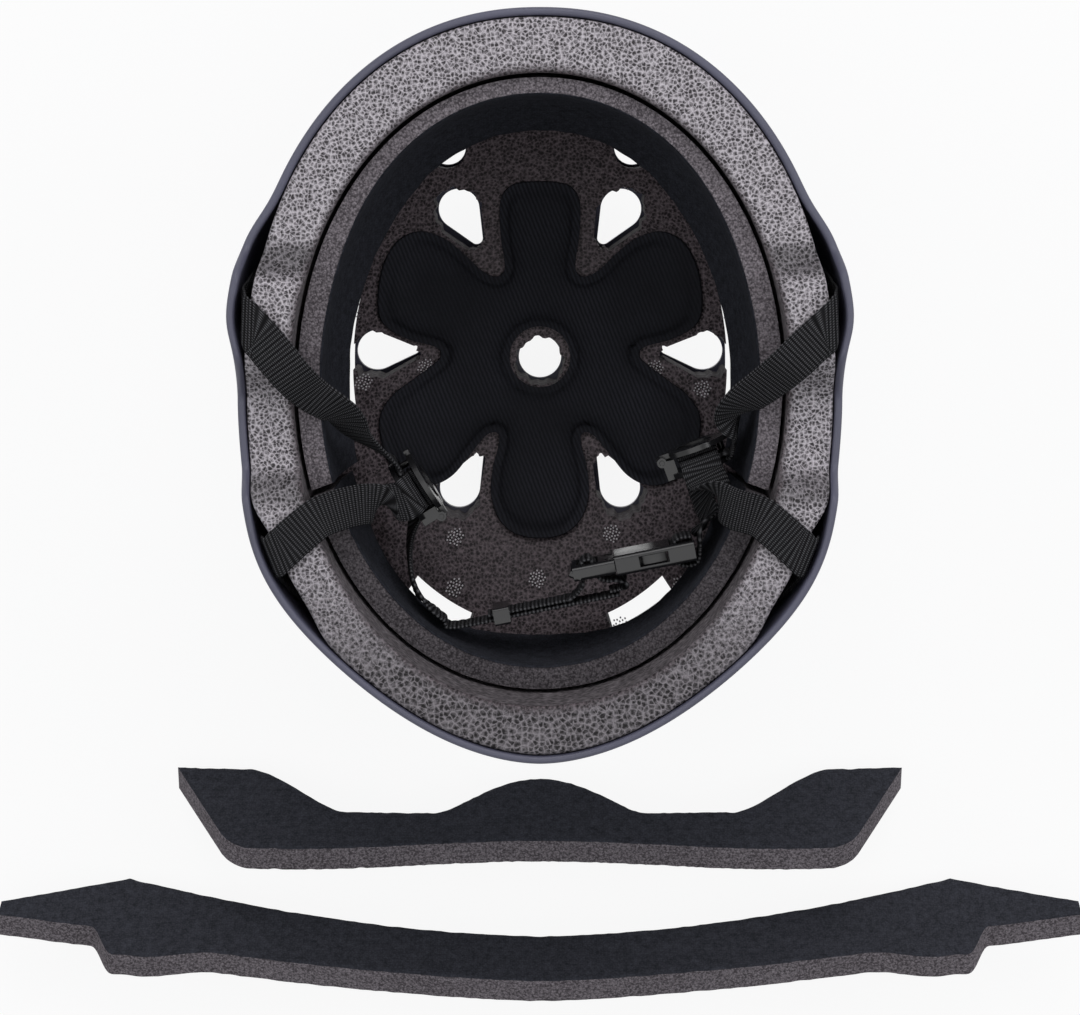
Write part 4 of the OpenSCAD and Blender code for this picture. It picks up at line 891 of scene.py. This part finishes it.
black_webbing, tree, shader = new_material("black_webbing", (0.012, 0.012, 0.013), 0.6,
                                           Specular_IOR_Level=0.06)
weave_place = put(tree, "UVMap", uv_map="weave")
parts = put(tree, "SeparateXYZ", [(weave_place.outputs[0], 0)])
# The weave's light colour is the painted highlight on the yarn crowns
web = use_effect(tree, web_weave, Light=(0.125, 0.125, 0.132, 1), Dark=(0.0025, 0.0025, 0.003, 1))
tree.links.new(parts.outputs["X"], web.inputs["Along"])
tree.links.new(parts.outputs["Y"], web.inputs["Across"])
dress(tree, shader, web.outputs["Color"], web.outputs["Height"], 0.7, 0.00035)


def open_curve(points, times):
    """A Catmull-Rom curve through the points, with its first and last point repeated."""
    padded = np.concatenate([points[:1], points, points[-1:]])
    k = np.linspace(0, 1, times, endpoint=False)[None, :, None]
    a, b, c, d = (padded[i:len(padded) - 3 + i, None] for i in range(4))
    line = (0.5 * (2 * b + (c - a) * k + (2 * a - 5 * b + 4 * c - d) * k ** 2
                   + (3 * b - a - 3 * c + d) * k ** 3)).reshape(-1, points.shape[1])
    return np.concatenate([line, points[-1:]])


def webbing(name, stations, node, body="helmet"):
    """A strap: a flat section swept along a curve through its stations. Ribs swell both faces
    by a rounded wave along the length, and the two selvedges are rounded and not ribbed.
    Where a station's width vector is long, its crease runs askew, as the strap folds over."""
    line = open_curve(np.array(stations, float), 40)
    run = np.concatenate([[0], np.cumsum(np.linalg.norm(np.diff(line[:, :3], axis=0), axis=1))])
    count = int(run[-1] / RIB * 8) + 1
    s = np.linspace(0, run[-1], count)
    line = np.stack([np.interp(s, run, line[:, i]) for i in range(6)], 1)
    way = np.gradient(line[:, :3], axis=0)
    way /= np.linalg.norm(way, axis=1, keepdims=True)
    raw = line[:, 3:]
    ahead = np.sum(raw * way, axis=1, keepdims=True)
    square = raw - ahead * way
    size = np.linalg.norm(square, axis=1, keepdims=True)
    skew = np.clip(np.linalg.norm(raw, axis=1, keepdims=True) - FOLD, 0, 1) * ahead / size
    wide = square / size + skew * way
    thick = np.cross(way, wide)
    thick /= np.linalg.norm(thick, axis=1, keepdims=True)
    v = np.linspace(-1, 1, 15)
    rib = np.abs(np.sin(np.pi * s / RIB)) ** 0.7
    body_of_web = np.clip((1 - np.abs(v)) / 0.1, 0, 1) ** 0.5
    half = (WEB_T / 2 - RIB_DEPTH * (1 - rib)[:, None]) * body_of_web + 0.32 * (1 - body_of_web)
    mid = line[:, None, :3] + wide[:, None] * v[None, :, None] * WEB_W / 2
    loop = np.concatenate([mid + thick[:, None] * half[..., None],
                           (mid - thick[:, None] * half[..., None])[:, ::-1]], axis=1)
    n, m = loop.shape[:2]
    faces = grid_faces(n, m, False, True).tolist()
    faces += [list(range(m)), list(range((n - 1) * m, n * m))[::-1]]
    strap = make_piece(name, loop.reshape(-1, 3), faces, black_webbing, body=body, slot="webbing", smooth=75)
    across = np.concatenate([v, v[::-1]]) * WEB_W / 2
    flat_place = np.stack(np.broadcast_arrays(s[:, None], across[None]), -1).reshape(-1, 2)
    corners = np.zeros(len(strap.data.loops), int)
    strap.data.loops.foreach_get("vertex_index", corners)
    strap.data.uv_layers.new(name="weave").data.foreach_set("uv", flat_place[corners].ravel())
    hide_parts(node)


LAYER = WEB_T + SEAT
OVER_TEMPLE, OVER_BACK = TEMPLE_H + SEAT + WEB_T / 2, BACK_H + SEAT + WEB_T / 2
front_end = [in_gap(34.2, 98, 1, 0.05), in_gap(34, 106, 1, 0.1), in_gap(32.4, 117, 1, 0.25),
             in_gap(30.4, 127, 1, 0.3), [107, 27.4, OVER_TEMPLE - 10, 0, 1.8, 0.2],
             [106.5, 25, OVER_TEMPLE - 4, -0.12, 2.4, 0], [105.8, 22.8, OVER_TEMPLE, -0.12, 2.4, 0],
             [103, 20, OVER_TEMPLE + 0.8, -0.12, 2.4, 0]]
rear_end = [in_gap(-85, 115, 1, -0.8), in_gap(-79, 122, 1, -0.8), in_gap(-73, 129, 1, -0.7),
            in_gap(-67.5, 136, 1.4, -0.4), in_gap(-64.8, 140, 2.3, 0),
            [96.8, -62.6, OVER_BACK - 0.1, 0.86, 2.15, 0], [94, -60, OVER_BACK + 0.8, 0.86, 2.15, 0]]
left_div, right_div = ([46, -42, 100], 238), ([59, -30, 100], 200)
webbing("front_strap_l", mirrored(front_end + [
    [99, 15.6, OVER_TEMPLE + 0.7, -0.4, 0.9, 0], [94, 9.4, OVER_TEMPLE + 0.3, -0.7, 0.65, 0.05],
    [88.6, 2.4, OVER_TEMPLE - 2.4, -0.75, 0.6, 0.2], [83, -3.6, OVER_TEMPLE - 8, -0.7, 0.6, 0.3],
    [76, -8.8, OVER_TEMPLE - 12, -0.6, 0.55, 0.45], [71.2, -13.4, OVER_TEMPLE - 19.2, -0.3, 0.45, 0.8],
    [67.5, -20.5, 116, -0.3, 0.3, 0.9], *through(left_div, [[-13, 4.2, -LAYER], [-9, 3.4, -LAYER],
        [2, 2.2, -LAYER]], [0, 1, 0])]),
    "front_strap_left")
webbing("rear_strap_l", mirrored(rear_end + [
    [89, -55.4, OVER_BACK + 0.8, 0.5, 0.85, 0], [83.6, -50.8, OVER_BACK + 0.7, 0.55, 0.85, 0],
    [78, -47.4, OVER_BACK - 2.4, 0.4, 0.9, 0], [66, -45, OVER_BACK - 13, 0.1, 1, 0],
    *through(left_div, [[0, 16.5, -6.5], [0, 14.6, -2], [0, 10, 0], [0, -8, 0]],
        [1, 0, 0])]), "rear_strap_left")
webbing("front_strap_r", front_end + [
    [99, 16.4, OVER_TEMPLE + 0.7, -0.4, 0.9, 0], [94, 11.6, OVER_TEMPLE + 0.4, -0.65, 0.7, 0.05],
    [88.8, 6.4, OVER_TEMPLE - 1, -0.7, 0.6, 0.15], [82.4, 0.4, OVER_TEMPLE - 7, -0.65, 0.6, 0.3],
    [75.4, -5.6, OVER_TEMPLE - 13, -0.5, 0.55, 0.45], [71, -11.2, 125.6, -0.3, 0.4, 0.85],
    [72.6, -18, 112, -0.1, 0.2, 0.9], *through(right_div, [[-13, 4.2, 0.7 - LAYER], [-9, 3.4, -LAYER],
        [2, 2.2, -LAYER]], [0, 1, 0])],
    "front_strap_right")
webbing("rear_strap_r", rear_end + [
    [89, -55.4, OVER_BACK + 0.8, 0.5, 0.85, 0], [83.8, -51, OVER_BACK + 0.7, 0.55, 0.85, 0],
    [79, -47.8, OVER_BACK - 2, 0.4, 0.9, 0], [68.4, -45.2, OVER_BACK - 13.6, 0.1, 1, 0],
    *through(right_div, [[0, 16.5, -7], [0, 14.6, -2], [0, 10, 0], [0, -8, 0]], [1, 0, 0])],
    "rear_strap_right")
LANE_Y, LANE_Z, SLOT_A, SLOT_B = -11.3, -1, -14.6, -19.8
LAP_Y = LANE_Y + LAYER
webbing("chin_strap_l", mirrored([*through(left_div, [[0, 9, LAYER], [0, -9, LAYER]], [1, 0, 0])]) + [
    [-44.6, -44, 82, 0.5, -0.8, 0.25], [-46, -51, 77.5, 0.4, -0.45, 0.8], [-48, -59.5, 79, 0.25, 0, 1],
    [-49, -67.5, 88, 0.1, 0.45, 0.9], [-48, -75, 100, 0, 0.45, 0.9], [-45.4, -80.6, 107, 0, 0.3, 1],
    [-40.4, -86, 109, 0, 0, 1], [-35.6, -90, 109, 0, 0, 1], *beside([(-70, LANE_Y, LANE_Z),
        (-40, LANE_Y, LANE_Z), (-7.5, LANE_Y, LANE_Z)])], "chin_strap_left")
webbing("chin_strap_r", [
    *through(right_div, [[0, 9, LAYER], [0, -9, LAYER], [0, -13, 1.4]], [1, 0, 0]),
        [61, -36, 82, 0.9, 0.3, 0.3],
    [62.6, -45, 90, 0.5, 0.1, 0.8], [63, -52, 103, 0, 0, 1], *beside([(26.4, 6.4), (25, 0), (23, -5),
        (18, -5.2), (15.5, -3), (15.5, 3), (18, 5.2), (22.6, 5)])], "chin_strap_right")
webbing("adjuster_loop", [
    *beside([(-11, LAP_Y, LANE_Z), (-7, -9.2, LANE_Z), (-4.8, -7.5, -0.5), (-7.3, -5.9), (-11.5, -5),
        (SLOT_A, -2.5), (SLOT_A, 2), ((SLOT_A + SLOT_B) / 2, 4.3), (SLOT_B, 2), (SLOT_B, -3.5),
        (-21.5, -6.5, -0.4), (-25, -9, -0.7), (-30, LAP_Y, LANE_Z),
        (-57, LAP_Y, LANE_Z)])], "adjuster_strap", body="buckle_plug")


# Dividers, buckle, keeper and rivets. Black acetal mouldings with a fine, slightly glossy
# skin and edges rounded by the mould; the rivets' washers are plain steel.
NODES = frame["nodes"]
EDGE_ROUND = 0.35
black_plastic = moulded_material("black_plastic", (0.011, 0.011, 0.012), 0.22, grain=1300.0, bump=0.08,
                                 Specular_IOR_Level=0.4)
rivet_plastic = moulded_material("rivet_plastic", (0.012, 0.012, 0.016), 0.42, grain=1100.0, bump=0.2)
plain_steel, tree, shader = new_material("plain_steel", (0.5, 0.5, 0.51), 0.3, Metallic=1.0)
place = put(tree, "TexCoord")
drawn_lines = noise(tree, place.outputs["Object"], 1800.0, 2.0)
steel_rough = stretch(tree, drawn_lines.outputs["Fac"], 0.3, 0.7, 0.22, 0.42)
tree.links.new(steel_rough, shader.inputs["Roughness"])
hook_cloth = knit_material("hook_cloth", (0.02, 0.02, 0.021), (0.004, 0.004, 0.004))
for names, material in (
        (["strap_keeper", "divider_pin_left", "divider_pin_right"], black_plastic),
        (["rivets_front", "rivets_rear"], rivet_plastic),
        (["washers"], plain_steel),
        (["hook_tabs"], hook_cloth)):
    for name in names:
        mesh = NODES[name].data
        mesh.materials.clear()
        mesh.materials.append(material)


def softened(name, node, body):
    """A moulding made from its part's own faces, with every sharp edge slightly bevelled."""
    mesh = NODES[node].data.copy()
    mesh.transform(NODES[node].matrix_world)
    shape = bmesh.new()
    shape.from_mesh(mesh)
    bmesh.ops.remove_doubles(shape, verts=shape.verts, dist=1e-6)
    bmesh.ops.dissolve_limit(shape, angle_limit=np.radians(1), verts=shape.verts, edges=shape.edges)
    shape.to_mesh(mesh)
    shape.free()
    mesh.materials.clear()
    mesh.materials.append(black_plastic)
    mesh.shade_smooth()
    mesh.set_sharp_from_angle(angle=np.radians(40))
    piece = bpy.data.objects.new(name, mesh)
    bpy.context.collection.objects.link(piece)
    bevel = piece.modifiers.new("edges", "BEVEL")
    bevel.width, bevel.segments, bevel.limit_method = EDGE_ROUND * MM, 2, "ANGLE"
    bevel.angle_limit = np.radians(35)
    bevel.use_clamp_overlap = True
    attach(piece, body)
    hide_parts(node)


for name, node, body in (
        ("buckle_mouth", "buckle_housing", "helmet"), ("buckle_tongue", "buckle_plug", "buckle_plug"),
        ("upper_spring", "upper_prong", "upper_prong"), ("lower_spring", "lower_prong", "lower_prong"),
        ("left_divider", "divider_base_left", "helmet"), ("right_divider", "divider_base_right", "helmet"),
        ("left_lid", "divider_lid_left", "lid_left"), ("right_lid", "divider_lid_right", "lid_right")):
    softened(name, node, body)


# Spare pads. The thicker set for a smaller head: die-cut strips of the same foam and a
# paler cloth, standing on their humps and leaning back, with the cloth side up.
SPARE_FOAM, SPARE_CLOTH, SPARE_LEAN, SPARE_DEPTH = 11, 0.8, np.radians(30), 50
SHORT_HALF, SHORT_SLANT, SHORT_DIP, LONG_HALF, LONG_MID = 122, 27, 23, 219, 27
spare_knit = knit_material("spare_knit", (0.055, 0.057, 0.07), (0.018, 0.019, 0.023))
SPARE_TOP = SPARE_DEPTH * np.cos(SPARE_LEAN) + (SPARE_FOAM + SPARE_CLOTH) * np.sin(SPARE_LEAN)


def lean_point(half, bow, y0, u, w, slant, deep):
    """A point of a leaning, slightly bowed pad: u along it from -1 to 1, w down its face,
    deep into its thickness. The bow is an arc of a large circle seen from above."""
    a = u * (half + slant * w / SPARE_DEPTH) / bow
    out = -w * np.sin(SPARE_LEAN) + deep * np.cos(SPARE_LEAN)
    return np.stack(np.broadcast_arrays(
        (bow + out) * np.sin(a), -y0 + bow - (bow + out) * np.cos(a),
        SPARE_TOP - w * np.cos(SPARE_LEAN) - deep * np.sin(SPARE_LEAN)), axis=-1)


def short_deep(u):
    """Depth of the short pad: full at both ends and a rounded hump in the middle."""
    hump = 0.78 * (SPARE_DEPTH - SHORT_DIP) * np.clip(np.cos(u / 0.31 * np.pi / 2), 0, 1) ** 1.4
    return (SHORT_DIP + (SPARE_DEPTH - 2 - SHORT_DIP) * ramp(0.58, 0.8, np.abs(u))
            + np.where(np.abs(u) < 0.31, hump, 0))


def short_edge(u):
    """The short pad's long edge is hollowed in the middle, and its corners are round."""
    corner = np.clip((np.abs(u) - 0.93) / 0.07, 0, 1)
    return 6 * (1 - ramp(0, 0.85, np.abs(u))) + 8 * (1 - np.sqrt(1 - corner ** 2))


def long_deep(u):
    """Depth of the long pad: a slow swell towards the ears, then a straight taper to its tips."""
    a = np.abs(u)
    return np.where(a < 0.775, LONG_MID + (SPARE_DEPTH - LONG_MID) * (np.minimum(a, 0.775) / 0.775) ** 1.6,
                    SPARE_DEPTH + (29 - SPARE_DEPTH) * (a - 0.775) / 0.225)


def long_edge(u):
    """The long pad's long edge is hollowed on each side, swells to a lobe, and steps in at its tips."""
    a = np.abs(u)
    return (0.5 + 9.8 * np.minimum(a / 0.6, 1) ** 1.2 - 5.3 * ramp(0.6, 0.73, a)
            + 14.5 * ramp(0.78, 0.828, a) + ramp(0.83, 1, a))


def spare_pad(name, deep_at, edge_at, place, slant, nodes, body, seed):
    """A spare pad: foam and cloth slabs over the same outline, whose edges the die left wavy."""
    count = 420
    u = np.linspace(-1, 1, count)
    waves = np.random.default_rng(seed).uniform(0, 2 * np.pi, 6)
    wave = sum(np.sin(u * f + p) for f, p in zip((17, 29, 43, 67, 91, 133), waves)) * 0.11
    v, drawn = rounded_depth(15, 0.05)
    near, far = edge_at(u) + 0.4 + np.abs(wave), deep_at(u) - 0.4 - np.abs(wave[::-1])
    w = near[:, None] * (1 - v) + far[:, None] * v
    deep = SPARE_CLOTH + 0.0 * w
    front = lean_point(*place, u[:, None], w, slant, deep)
    back = lean_point(*place, u[:, None], w, slant, deep + SPARE_FOAM)
    foam = slab_piece(name, front, back, grey_foam, body=body, slot="pad_foam", smooth=50)
    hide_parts(nodes[0])
    top = lean_point(*place, u[:, None], w, slant, SPARE_CLOTH * (0.1 + 0.75 * drawn[None]) + 0 * w)
    under = lean_point(*place, u[:, None], w, slant, deep - 0.02)
    cloth = slab_piece(name + "_cloth", top, under, spare_knit, body=body, slot="pad_fabric", smooth=60)
    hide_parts(nodes[1])


spare_pad("short_spare", short_deep, short_edge, (SHORT_HALF, 5200, 192), SHORT_SLANT,
          ("short_spare_foam", "short_spare_cover"), "short_spare_pad", 11)
spare_pad("long_spare", long_deep, long_edge, (LONG_HALF, 1850, 245), 0,
          ("long_spare_foam", "long_spare_cover"), "long_spare_pad", 12)
